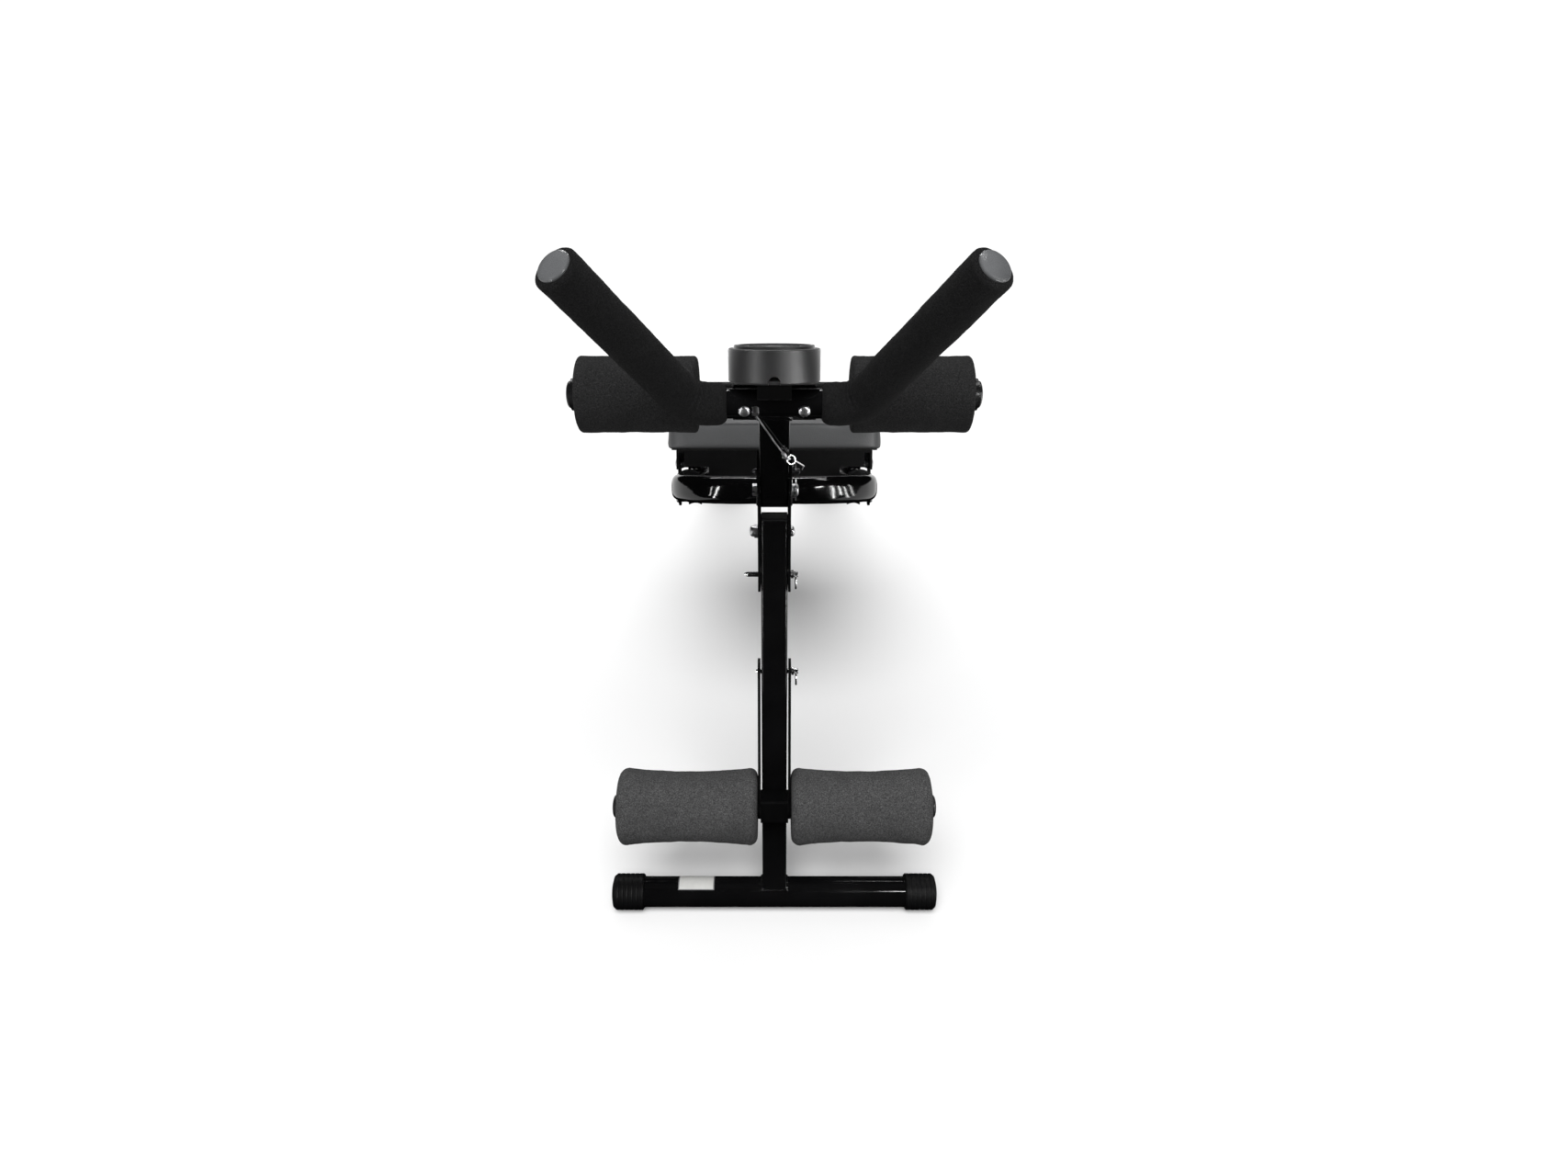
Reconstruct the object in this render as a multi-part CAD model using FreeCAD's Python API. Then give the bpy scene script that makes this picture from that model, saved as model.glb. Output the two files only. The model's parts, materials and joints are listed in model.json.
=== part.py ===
"""Folding ab crunch machine: a kneeling carriage on two inclined rails, with a V handle.

Millimetres. +X is the machine's left-to-right, +Y runs from the handle end to the rear foot,
+Z is up. The origin is on the floor, under the middle of the machine's bounding box.

Most sub-parts are drawn in the frame of the member that carries them, and then placed:
    leg frame     origin at the leg's pivot bolt, +Z up the front leg
    handle frame  origin at the handle's pivot bolt, +Z up the handle post, +Y to its rear face
    rail frame    origin at the front of the rail loop, +Y down the rails, +Z square to them
"""
import FreeCAD
import Part
import math
import os
from FreeCAD import Placement, Rotation, Vector

# ---- driving dimensions ---------------------------------------------------------------------
ORIGIN_Y = 536.8          # from the front foot's axis back to the origin
RUN = 0.05                # radial clearance of a running fit
GAP = 0.3                 # side clearance between parts that move past each other

FOOT_R = 19.0             # front and rear foot tubes
FOOT_LENGTH = 346.0
FOOT_WALL = 1.8
CAP_R = 22.5
CAP_LENGTH = 34.0
FOOT_Z = 21.4             # axis height; the caps are flattened where they meet the floor
REAR_FOOT_Y = 1155.0

POST = 30.0               # square tube of the front leg and of the handle post
POST_WALL = 2.0
PLATE = 3.0               # clevis plates, arms and carriage sheet

LEG_PIVOT = (101.0, 496.0)
LEG_TOP = 16.0            # from the leg's pivot to its upper end
LEG_PIN_DROP = 51.0       # from the leg's pivot down to its lock pin
LEG_PIN_TIP = 34.0        # how far each pin's tip reaches past the middle
CARRIER_PIN_TIP = 22.0
PIVOT_BOLT_R = 4.0
PIN_R = 3.0

HANDLE_PIVOT = (108.0, 544.0)
HANDLE_LEAN = 34.0        # degrees forward of upright
HANDLE_FOOT = 11.0        # from the handle's pivot to the post's lower end
HANDLE_PIN_RISE = 40.0
CROSSBAR_T = 165.0        # from the handle's pivot to the crossbar
TUBE_R = 14.0             # handle bar
TUBE_WALL = 1.6
HANDLE_CORNER_X = 80.0
HANDLE_END = (169.0, 348.0)   # x and height of each grip's outer end, in the handle frame
HANDLE_BEND_R = 34.0
GRIP_R = 20.0
GRIP_START_X = 44.0

ELBOW_AXLE = (45.0, 115.0)    # y and z of the elbow rollers' axle, in the handle frame
ELBOW_ROLLER_R = 38.0
ELBOW_ROLLER_X = (77.0, 196.0)
AXLE_R = 12.5
AXLE_WALL = 2.0
ELBOW_BOLT_X = 28.0
ELBOW_BOLT_R = 3.0
BRACKET_SLOPE = 6.0           # degrees; the bracket's bolts point slightly down and forward
BRACKET_HALF = 40.0

MONITOR_BASE = (22.0, 700.0)  # y and z of the centre of the monitor's underside
MONITOR_TILT = 16.0           # its face leans back towards the user
MONITOR_R = 43.0
MONITOR_HEIGHT = 29.0
LID_R = 37.5
LID = 4.5
BUTTON_PLACE = (0.0, -23.0)
BUTTON_R = 7.0
BUTTON_TRAVEL = 1.0
LENS = (-24.0, 24.0, -12.0, 22.0)

CARRIER_PIVOT_Z = -172.0      # in the leg frame
FOOT_AXLE = (-31.0, -337.0)   # y and z of the foot rollers' axle, in the leg frame
FOOT_ROLLER_R = 45.5
FOOT_ROLLER_X = (20.0, 186.0)

RAIL_FRONT = (152.0, 521.6)
RAIL_SLOPE = 23.5
RAIL_X = 110.0
RAIL_R = 16.0
RAIL_BEND_R = 70.0
RAIL_LENGTH = 1078.0
STOP_R = 19.0
STOP_LENGTH = 14.0
STOP_STARTS = (124.0, 988.0)

CARRIAGE_START = 205.0        # distance down the rails
CARRIAGE_LENGTH = 300.0
CARRIAGE_HALF = 132.6
WHEEL_STATIONS = (237.0, 467.0)
WHEEL_GROOVE_R = 7.5
WHEEL_RIM_R = 9.8
WHEEL_HALF = 9.0
WHEEL_BOLT_R = 4.0
PLATE_UNDER = 39.0            # height of the carriage plate's underside above the rail axes
CUSHION_START = 200.0
CUSHION_LENGTH = 350.0
CUSHION_HALF = 148.0
CUSHION_BASE = 50.0           # the top of its board; the cover wraps down past it
CUSHION_TOP = 87.0

WHEEL_AXLE_Z = RAIL_R + GAP + WHEEL_GROOVE_R
INNER = POST / 2 + GAP        # inner face of every plate that straddles a post
OUTER = INNER + PLATE
ARM_INNER = 16.5              # the foot-roller arms stand a little wider
ARM_OUTER = ARM_INNER + PLATE
FOOT_DROP = math.dist((0.0, FOOT_Z), LEG_PIVOT)
LEG_TILT = math.degrees(math.atan2(LEG_PIVOT[0], LEG_PIVOT[1] - FOOT_Z))

# ---- frames ---------------------------------------------------------------------------------
X_AXIS = Vector(1, 0, 0)
LEG = Placement(Vector(0, *LEG_PIVOT), Rotation(X_AXIS, -LEG_TILT))
HANDLE = Placement(Vector(0, *HANDLE_PIVOT), Rotation(X_AXIS, HANDLE_LEAN))
RAIL = Placement(Vector(0, *RAIL_FRONT), Rotation(X_AXIS, -RAIL_SLOPE))
CROSSBAR = HANDLE.multVec(Vector(0, 0, CROSSBAR_T))
BRACKET = Placement(CROSSBAR, Rotation(X_AXIS, BRACKET_SLOPE))
MONITOR = Placement(Vector(0, *MONITOR_BASE), Rotation(X_AXIS, -MONITOR_TILT))
WORLD = Placement()
TO_ORIGIN = Vector(0, -ORIGIN_Y, 0)


def placed(shape, frame):
    """The shape, moved from a member's frame into the machine's."""
    out = shape.copy()
    out.Placement = frame.multiply(out.Placement)
    return out


def export(name, shape, frame=WORLD):
    """Write one sub-part, in the machine's frame, as a STEP file."""
    out = placed(shape, frame)
    out.translate(TO_ORIGIN)
    out.exportStep("parts/" + name + ".step")


# ---- shared shapes --------------------------------------------------------------------------
def rod_x(radius, x0, x1, y=0.0, z=0.0):
    """A solid rod along X."""
    return Part.makeCylinder(radius, x1 - x0, Vector(x0, y, z), X_AXIS)


def pipe_x(outer, inner, x0, x1, y=0.0, z=0.0):
    """A tube along X."""
    return rod_x(outer, x0, x1, y, z).cut(rod_x(inner, x0, x1, y, z))


def block(x0, x1, y0, y1, z0, z1):
    """A box between two corners."""
    return Part.makeBox(x1 - x0, y1 - y0, z1 - z0, Vector(x0, y0, z0))


def mirrored(shape):
    """The shape's twin on the other side of the machine."""
    return shape.mirror(Vector(0, 0, 0), X_AXIS)


def pair(shape):
    """The shape and its twin, as two separate solids in one node."""
    return Part.makeCompound([shape, mirrored(shape)])


def largest(shape):
    """The shape without the offcuts that a cope leaves."""
    return max(shape.Solids, key=lambda solid: solid.Volume)


def revolved_x(profile, y=0.0, z=0.0):
    """A solid turned about X from (x, radius) points."""
    wire = Part.makePolygon([Vector(x, r, 0) for x, r in profile + profile[:1]])
    solid = Part.Face(wire).revolve(Vector(0, 0, 0), X_AXIS, 360)
    solid.translate(Vector(0, y, z))
    return solid


def revolved_z(profile):
    """A solid turned about Z from (radius, z) points."""
    wire = Part.makePolygon([Vector(r, 0, z) for r, z in profile + profile[:1]])
    return Part.Face(wire).revolve(Vector(0, 0, 0), Vector(0, 0, 1), 360)


def square_tube(z0, z1, wall=POST_WALL):
    """A square post along Z, with rounded outer corners."""
    half = POST / 2
    outer = block(-half, half, -half, half, z0, z1)
    upright = [e for e in outer.Edges if abs(e.tangentAt(e.FirstParameter).z) > 0.9]
    outer = outer.makeFillet(3.0, upright)
    inner = half - wall
    return outer.cut(block(-inner, inner, -inner, inner, z0 - 1, z1 + 1))


def plate_yz(points, x0, x1):
    """A flat plate from an outline of (y, z) points, between two X planes."""
    wire = Part.makePolygon([Vector(x0, y, z) for y, z in points + points[:1]])
    return Part.Face(wire).extrude(Vector(x1 - x0, 0, 0))


def rounded_path(points, radius):
    """A wire through the points, with a tangent arc of the radius at each corner."""
    edges = []
    start = points[0]
    for before, corner, after in zip(points, points[1:], points[2:]):
        back = (before - corner).normalize()
        ahead = (after - corner).normalize()
        half_turn = (math.pi - back.getAngle(ahead)) / 2
        reach = radius * math.tan(half_turn)
        middle = (back + ahead).normalize() * (radius / math.cos(half_turn) - radius)
        leave, arrive = corner + back * reach, corner + ahead * reach
        edges.append(Part.LineSegment(start, leave).toShape())
        edges.append(Part.Arc(leave, corner + middle, arrive).toShape())
        start = arrive
    edges.append(Part.LineSegment(start, points[-1]).toShape())
    return Part.Wire(edges)


def swept(path, radius):
    """A round bar along a wire."""
    first = path.Edges[0]
    start = first.valueAt(first.FirstParameter)
    ring = Part.makeCircle(radius, start, first.tangentAt(first.FirstParameter))
    return path.makePipeShell([Part.Wire(ring)], True, True)


def annular_sector(pivot, radius, half_width, start, sweep, x0, x1):
    """The space a pin sweeps about a pivot; angles in degrees from +Z towards +Y."""
    ring = pipe_x(radius + half_width, radius - half_width, x0, x1, *pivot)
    far = 2 * radius
    fan = [pivot]
    for step in range(9):
        angle = math.radians(start + sweep * step / 8)
        fan.append((pivot[0] + far * math.sin(angle), pivot[1] + far * math.cos(angle)))
    return ring.common(plate_yz(fan, x0, x1))


# ---- feet -----------------------------------------------------------------------------------
def foot_tube(y):
    """A foot's round cross tube."""
    half = FOOT_LENGTH / 2
    return pipe_x(FOOT_R, FOOT_R - FOOT_WALL, -half, half, y, FOOT_Z)


def foot_caps(y):
    """Ribbed rubber caps over the tube's ends, flattened where they stand on the floor."""
    start, reach = FOOT_LENGTH / 2, CAP_LENGTH
    rim, groove = CAP_R, CAP_R - 0.4
    profile = [(start, FOOT_R), (start - 6.0, FOOT_R), (start - 6.0, rim - 1.5), (start - 4.5, rim)]
    rib = 4.0
    for i in range(5):
        x = start + i * 1.5 * rib
        profile += [(x, rim), (x + 0.6, groove), (x + 1.6, groove), (x + 2.2, rim)]
    end = start + reach
    profile += [(end - 5.0, rim), (end - 1.5, rim - 3.0), (end, rim - 9.0), (end, 0.0)]
    profile += [(start, 0.0)]
    cap = revolved_x(profile, y, FOOT_Z)
    floor = block(0, 400, y - 60, y + 60, -60, 0)
    return pair(cap.cut(floor))


# ---- front leg ------------------------------------------------------------------------------
def front_post():
    """The leg's square tube, coped onto the foot tube, with its pivot and pin holes."""
    post = square_tube(-FOOT_DROP, LEG_TOP)
    post = post.cut(rod_x(FOOT_R, -40, 40, 0, -FOOT_DROP))
    post = post.cut(rod_x(PIVOT_BOLT_R + RUN, -40, 40))
    for z in (-LEG_PIN_DROP, CARRIER_PIVOT_Z):
        post = post.cut(rod_x(PIN_R + RUN, -40, 40, 0, z))
    return largest(post)


def post_plug(z, direction):
    """A moulded plug in a post's open end; direction is +1 for an upper end, -1 for a lower."""
    half = POST / 2
    inner = half - POST_WALL
    lid, depth = 2.0, 5.0
    near, far = sorted((z, z + direction * lid))
    edge = half - 0.4
    head = block(-edge, edge, -edge, edge, near, far)
    near, far = sorted((z - direction * depth, z))
    web = inner - 2.0
    neck = block(-inner, inner, -inner, inner, near, far)
    neck = neck.cut(block(-web, web, -web, web, near, far))
    return head.fuse(neck).removeSplitter()


# ---- clevis that joins the leg, the handle post and the rail loop ---------------------------
def in_plane(frame, y, z):
    """A member-frame point as (y, z) in the machine's frame."""
    point = frame.multVec(Vector(0, y, z))
    return (point.y, point.z)


def clevis_plates():
    """Two plates welded to the rail loop. Each pin's hole is a slot, open on the fold side."""
    edge = POST / 2 + 2.0
    rail_y, rail_z = RAIL_FRONT
    outline = [in_plane(LEG, -edge, -66.0), in_plane(LEG, edge + 4, -66.0)]
    outline += [in_plane(LEG, edge + 7, -20.0), (rail_y, rail_z - RAIL_R)]
    outline += [(rail_y, rail_z + RAIL_R), in_plane(HANDLE, edge + 3, 22.0)]
    outline += [in_plane(HANDLE, edge + 3, 50.0), in_plane(HANDLE, edge - 2, 54.0)]
    outline += [in_plane(HANDLE, -edge + 4, 54.0), in_plane(HANDLE, -edge, 50.0)]
    outline += [in_plane(HANDLE, -edge, 8.0), in_plane(LEG, -edge, 14.0)]
    x0, x1 = INNER, OUTER
    plate = plate_yz(outline, x0, x1)
    plate = plate.cut(rod_x(RAIL_R, x0 - 1, x1 + 1, rail_y, rail_z))
    for pivot in (LEG_PIVOT, HANDLE_PIVOT):
        plate = plate.cut(rod_x(PIVOT_BOLT_R, x0 - 1, x1 + 1, *pivot))
    slot = PIN_R + GAP
    leg_pin = in_plane(LEG, 0, -LEG_PIN_DROP)
    handle_pin = in_plane(HANDLE, 0, HANDLE_PIN_RISE)
    for pivot, pin, radius, start, sweep in (
        (LEG_PIVOT, leg_pin, LEG_PIN_DROP, 180.0 + LEG_TILT, -76.0),
        (HANDLE_PIVOT, handle_pin, HANDLE_PIN_RISE, -HANDLE_LEAN, 99.0),
    ):
        plate = plate.cut(rod_x(slot, x0 - 1, x1 + 1, *pin))
        plate = plate.cut(annular_sector(pivot, radius, slot, start, sweep, x0 - 1, x1 + 1))
    return pair(largest(plate))


def dome(x, radius, height, y=0.0, z=0.0, direction=1):
    """A domed bolt head that stands on the plane at x."""
    profile = [(0.0, 0.0), (0.0, radius), (height * 0.35, radius)]
    for step in range(1, 7):
        angle = math.radians(15 * step)
        profile.append((height * (0.35 + 0.65 * math.sin(angle)), radius * math.cos(angle)))
    profile[-1] = (height, 0.0)
    return revolved_x([(x + direction * px, r) for px, r in profile], y, z)


def hex_nut(x, across, height, y=0.0, z=0.0, direction=1):
    """A hexagon nut's outer body on the plane at x."""
    corner = across / math.sqrt(3)
    points = []
    for i in range(6):
        angle = math.radians(60 * i)
        points.append((y + corner * math.cos(angle), z + corner * math.sin(angle)))
    x0, x1 = sorted((x, x + direction * height))
    return plate_yz(points, x0, x1)


def pivot_bolts():
    """The two pivot bolts: button heads on +X, plain ends inside the nuts on -X."""
    leg = rod_x(PIVOT_BOLT_R, -OUTER - 5.0, OUTER + 0.5, *LEG_PIVOT)
    leg = leg.fuse(dome(OUTER, 5.8, 4.6, *LEG_PIVOT))
    handle = rod_x(PIVOT_BOLT_R, -OUTER - 5.0, OUTER + 0.5, *HANDLE_PIVOT)
    flange, rim, waist = 11.8, 1.3, 7.0
    spool = [(OUTER, 0.0), (OUTER, flange), (OUTER + rim, flange), (OUTER + rim, waist)]
    spool += [(OUTER + 4.6, waist), (OUTER + 4.6, flange), (OUTER + 4.6 + rim, flange)]
    spool += [(OUTER + 4.6 + rim, 0.0)]
    handle = handle.fuse(revolved_x(spool, *HANDLE_PIVOT))
    handle = handle.fuse(dome(OUTER + 4.6 + rim, 6.5, 2.6, *HANDLE_PIVOT))
    return Part.makeCompound([leg, handle])


def pivot_nuts():
    """A domed nut on the leg's bolt and a plain nut on the handle's."""
    y, z = LEG_PIVOT
    leg = hex_nut(-OUTER, 13.0, 4.0, y, z, -1)
    leg = leg.fuse(dome(-OUTER - 4.0, 6.2, 5.6, y, z, -1))
    leg = leg.cut(rod_x(PIVOT_BOLT_R, -OUTER - 5.0, 0, y, z))
    y, z = HANDLE_PIVOT
    handle = hex_nut(-OUTER, 12.0, 5.8, y, z, -1)
    handle = handle.cut(rod_x(PIVOT_BOLT_R, -60, 0, y, z))
    return Part.makeCompound([leg, handle])


# ---- pull pins ------------------------------------------------------------------------------
PIN_HEAD_R = 4.7
PIN_NECK_R = 3.3
PIN_NECK = (3.4, 8.6)         # start and end of the neck, out from the face it stands on
PIN_EYE_R = 1.9
RING_R = 8.8
RING_WIRE = 1.0


def pull_pin(tip, face, y, z):
    """A round pin with a bullet tip on -X, and outside the face on +X a collar and ring eye."""
    taper, seat = 4.0, face + 0.6
    collar, end = face + PIN_NECK[0], face + PIN_NECK[1]
    profile = [(-tip, 0.0), (-tip, PIN_R * 0.45), (taper - tip, PIN_R), (seat, PIN_R)]
    profile += [(seat, PIN_HEAD_R), (collar, PIN_HEAD_R), (collar, PIN_NECK_R)]
    profile += [(end - 0.6, PIN_NECK_R), (end, PIN_NECK_R - 0.6), (end, 0.0)]
    eye = Vector((collar + end) / 2, y - 20, z)
    hole = Part.makeCylinder(PIN_EYE_R, 40, eye, Vector(0, 1, 0))
    return revolved_x(profile, y, z).cut(hole)


def pull_ring(face, y, z):
    """The split ring that hangs in the pin's eye."""
    centre = Vector(face + sum(PIN_NECK) / 2, y, z - RING_R)
    return Part.makeTorus(RING_R, RING_WIRE, centre, X_AXIS)


TETHER_R = 1.25
TETHER_TOP = Vector(-17.5, -16.3, 170.0)
EYELET_CENTRE = Vector(12.0, -18.6, 97.5)
EYELET_R = 3.6
EYELET_WIRE = 1.0
CRIMP_LENGTH = 6.0
CLIP_WIRE = 1.0
CLIP_COIL_R = 4.4
TETHER_RUN = (EYELET_CENTRE - TETHER_TOP).normalize()
TETHER_FOOT = EYELET_CENTRE - TETHER_RUN * (CRIMP_LENGTH + EYELET_R - 0.4)
LINK_RUN = Vector(0.85, 0.0, -0.53).normalize()
CLIP_COIL = EYELET_CENTRE + LINK_RUN * 5.6
COIL_FACE = Vector(0.47, -0.465, 0.75).normalize()
EYELET_FACE = LINK_RUN.cross(COIL_FACE)


def handle_pin():
    """The handle's lock pin, drilled near its +X end for the hairpin clip; handle frame."""
    taper = 3.0
    tip, end = -(OUTER + 5.0), OUTER + 9.0
    profile = [(tip, 0.0), (tip, PIN_R * 0.5), (tip + taper, PIN_R), (OUTER + 0.6, PIN_R)]
    profile += [(OUTER + 0.6, 6.5), (OUTER + 2.4, 6.5), (OUTER + 2.4, PIN_R), (end - 1, PIN_R)]
    profile += [(end, PIN_R - 1), (end, 0.0)]
    pin = revolved_x(profile, 0, HANDLE_PIN_RISE)
    return pin.cut(swept(clip_leg(), CLIP_WIRE + 0.1))


def clip_leg():
    """The centre line of the hairpin's straight leg, from its coil through the pin."""
    hole = Vector(OUTER + 5.4, 0, HANDLE_PIN_RISE)
    start = CLIP_COIL + LINK_RUN * CLIP_COIL_R
    past = hole + (hole - start).normalize() * 9.0
    return Part.Wire([Part.LineSegment(start, past).toShape()])


def hairpin_clip():
    """A hairpin: a round coil, a straight leg through the pin, a sprung leg outside it."""
    coil = Part.makeTorus(CLIP_COIL_R, CLIP_WIRE, CLIP_COIL, COIL_FACE)
    straight = swept(clip_leg(), CLIP_WIRE)
    along = clip_leg().Edges[0].tangentAt(0)
    first = CLIP_COIL + LINK_RUN * CLIP_COIL_R
    bow, toe = Vector(8.5, -1.5, 0) + along * 21.0, Vector(6.5, -1.0, 0) + along * 38.0
    sprung = rounded_path([first, first + bow, first + toe], 12.0)
    return coil.fuse(straight).fuse(swept(sprung, CLIP_WIRE)).removeSplitter()


# ---- foot-roller carrier --------------------------------------------------------------------
def carrier_arms():
    """Two flat arms that straddle the leg, from their pin down to the roller axle."""
    half, end = 12.5, 15.0
    top = (0.0, CARRIER_PIVOT_Z)
    slope = math.atan2(FOOT_AXLE[0], FOOT_AXLE[1] - CARRIER_PIVOT_Z)
    side = (half * math.cos(slope), -half * math.sin(slope))
    corners = [(top[0] - side[0], top[1] - side[1]), (top[0] + side[0], top[1] + side[1])]
    corners += [(FOOT_AXLE[0] + side[0], FOOT_AXLE[1] + side[1])]
    corners += [(FOOT_AXLE[0] - side[0], FOOT_AXLE[1] - side[1])]
    x0, x1 = ARM_INNER, ARM_OUTER
    arm = plate_yz(corners, x0, x1)
    for centre in (top, FOOT_AXLE):
        arm = arm.fuse(rod_x(end, x0, x1, *centre))
    arm = arm.removeSplitter()
    arm = arm.cut(rod_x(PIN_R + RUN, 0, 60, *top))
    return pair(arm.cut(rod_x(AXLE_R, 0, 60, *FOOT_AXLE)))


def carrier_block():
    """The short square sleeve between the arms, which rests against the leg."""
    y, z = FOOT_AXLE
    sleeve = block(-ARM_INNER, ARM_INNER, y - 15, y + 15, z - 15, z + 15)
    along = [e for e in sleeve.Edges if abs(e.tangentAt(e.FirstParameter).x) > 0.9]
    sleeve = sleeve.makeFillet(3.0, along)
    return sleeve.cut(rod_x(AXLE_R, -60, 60, y, z))


def axle_tube(reach, y, z):
    """A roller axle, right across the machine."""
    return pipe_x(AXLE_R, AXLE_R - AXLE_WALL, -reach, reach, y, z)


def axle_plugs(reach, collar_r, collar, y, z):
    """Domed plugs pressed into an axle's ends, each with a collar that keeps the roller on."""
    washer = rod_x(collar_r, reach, reach + collar, y, z)
    stem = rod_x(AXLE_R - AXLE_WALL, reach - 14.0, reach, y, z)
    head = dome(reach + collar, AXLE_R + 1.0, 5.5, y, z)
    return pair(washer.fuse(stem).fuse(head).removeSplitter())


def foam_roller(radius, x0, x1, waist, shoulder, y, z):
    """A foam roller with rounded ends; waist is how much its middle is pulled in."""
    corner = []
    for angle in map(math.radians, range(0, 91, 15)):
        inset = shoulder * (1 - math.cos(angle))
        corner.append((inset, radius - shoulder + shoulder * math.sin(angle)))
    middle = []
    if waist:
        for part in (0.25, 0.5, 0.75):
            x = x0 + shoulder + (x1 - x0 - 2 * shoulder) * part
            middle.append((x, radius - waist * math.sin(math.pi * part)))
    bore = AXLE_R + RUN
    profile = [(x0, bore)] + [(x0 + inset, r) for inset, r in corner] + middle
    profile += [(x1 - inset, r) for inset, r in reversed(corner)] + [(x1, bore)]
    return revolved_x(profile, y, z)


# ---- handle ---------------------------------------------------------------------------------
def handle_post():
    """The square post, coped under the crossbar."""
    post = square_tube(-HANDLE_FOOT, CROSSBAR_T)
    post = post.cut(rod_x(TUBE_R, -40, 40, 0, CROSSBAR_T))
    post = post.cut(rod_x(PIVOT_BOLT_R + RUN, -40, 40))
    post = post.cut(rod_x(PIN_R + RUN, -40, 40, 0, HANDLE_PIN_RISE))
    return largest(post)


def handle_path():
    """The V bar's centre line, in the handle frame."""
    end_x, end_z = HANDLE_END
    points = [Vector(-end_x, 0, end_z), Vector(-HANDLE_CORNER_X, 0, CROSSBAR_T)]
    points += [Vector(HANDLE_CORNER_X, 0, CROSSBAR_T), Vector(end_x, 0, end_z)]
    return rounded_path(points, HANDLE_BEND_R)


def bolt_y(radius, y0, y1, x, z):
    """A rod along the handle frame's Y."""
    return Part.makeCylinder(radius, y1 - y0, Vector(x, y0, z), Vector(0, 1, 0))


def handle_bar():
    """The bent V bar, drilled for the elbow bracket's bolts."""
    path = handle_path()
    bar = swept(path, TUBE_R).cut(swept(path, TUBE_R - TUBE_WALL))
    for side in (-1, 1):
        hole = placed(bolt_y(ELBOW_BOLT_R, -30, 30, side * ELBOW_BOLT_X, 0), BRACKET)
        bar = bar.cut(placed(hole, HANDLE.inverse()))
    return bar


def grip(side):
    """The foam sleeve over one arm and its bend."""
    end_x, end_z = HANDLE_END
    points = [Vector(side * GRIP_START_X, 0, CROSSBAR_T)]
    points += [Vector(side * HANDLE_CORNER_X, 0, CROSSBAR_T), Vector(side * end_x, 0, end_z)]
    path = rounded_path(points, HANDLE_BEND_R)
    return swept(path, GRIP_R).cut(swept(path, TUBE_R))


def grip_plugs():
    """Domed plugs in the V bar's ends."""
    end_x, end_z = HANDLE_END
    axis = Vector(end_x - HANDLE_CORNER_X, 0, end_z - CROSSBAR_T).normalize()
    stem_r, stem, head_r, head = TUBE_R - TUBE_WALL, 12.0, 14.8, 5.0
    profile = [(0.0, -stem), (stem_r, -stem), (stem_r, 0.0), (head_r, 0.0), (head_r, 1.2)]
    for step in range(1, 7):
        angle = math.radians(15 * step)
        profile.append((head_r * math.cos(angle), 1.2 + (head - 1.2) * math.sin(angle)))
    profile[-1] = (0.0, head)
    plug = revolved_z(profile)
    plug.Placement = Placement(Vector(end_x, 0, end_z), Rotation(Vector(0, 0, 1), axis))
    return pair(plug)


def in_bracket(y, z):
    """A handle-frame point as (y, z) in the bracket's frame, whose origin is the crossbar."""
    point = BRACKET.inverse().multVec(HANDLE.multVec(Vector(0, y, z)))
    return (point.y, point.z)


def elbow_bracket():
    """An angle plate bolted behind the crossbar, which carries the elbow rollers' axle."""
    axle_y, axle_z = in_bracket(*ELBOW_AXLE)
    near, thick, top = TUBE_R + GAP, 4.0, 10.0
    low = axle_z - thick / 2
    outline = [(near, top), (near, low), (axle_y, low), (axle_y, low + thick)]
    outline += [(near + thick, low + thick), (near + thick, top)]
    plate = plate_yz(outline, -BRACKET_HALF, BRACKET_HALF)
    plate = plate.cut(rod_x(AXLE_R, -60, 60, axle_y, axle_z))
    edge = POST / 2 + GAP
    notch = block(-edge, edge, -edge, edge, 60, CROSSBAR_T + TUBE_R)
    plate = plate.cut(placed(notch, BRACKET.inverse().multiply(HANDLE)))
    for side in (-1, 1):
        plate = plate.cut(bolt_y(ELBOW_BOLT_R, 0, 40, side * ELBOW_BOLT_X, 0))
    return plate


def elbow_bolts():
    """Two button-head bolts through the crossbar and the bracket."""
    shank = bolt_y(ELBOW_BOLT_R, -TUBE_R, TUBE_R + 9.0, ELBOW_BOLT_X, 0)
    head = dome(0.0, 5.5, 3.6)
    head.Placement = Placement(
        Vector(ELBOW_BOLT_X, -TUBE_R, 0), Rotation(X_AXIS, Vector(0, -1, 0))
    )
    return pair(shank.fuse(head))


def elbow_nuts():
    """The nuts behind the bracket."""
    start = TUBE_R + GAP + 4.0
    nut = hex_nut(0.0, 10.0, 5.0)
    nut.Placement = Placement(Vector(ELBOW_BOLT_X, start, 0), Rotation(X_AXIS, Vector(0, 1, 0)))
    return pair(nut.cut(bolt_y(ELBOW_BOLT_R, 0, 60, ELBOW_BOLT_X, 0)))


# ---- monitor --------------------------------------------------------------------------------
def monitor_base():
    """The monitor's round housing: a cup with a notch for a plug low on its front."""
    wall, floor = 2.2, 2.5
    cup = revolved_z([(0, 0), (MONITOR_R - 1.5, 0), (MONITOR_R, 1.5), (MONITOR_R, MONITOR_HEIGHT),
                      (MONITOR_R - wall, MONITOR_HEIGHT), (MONITOR_R - wall, floor), (0, floor)])
    jack = Part.makeCylinder(5.5, 6, Vector(0, -MONITOR_R - 1, 2.0), Vector(0, 1, 0))
    return cup.cut(jack)


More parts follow.
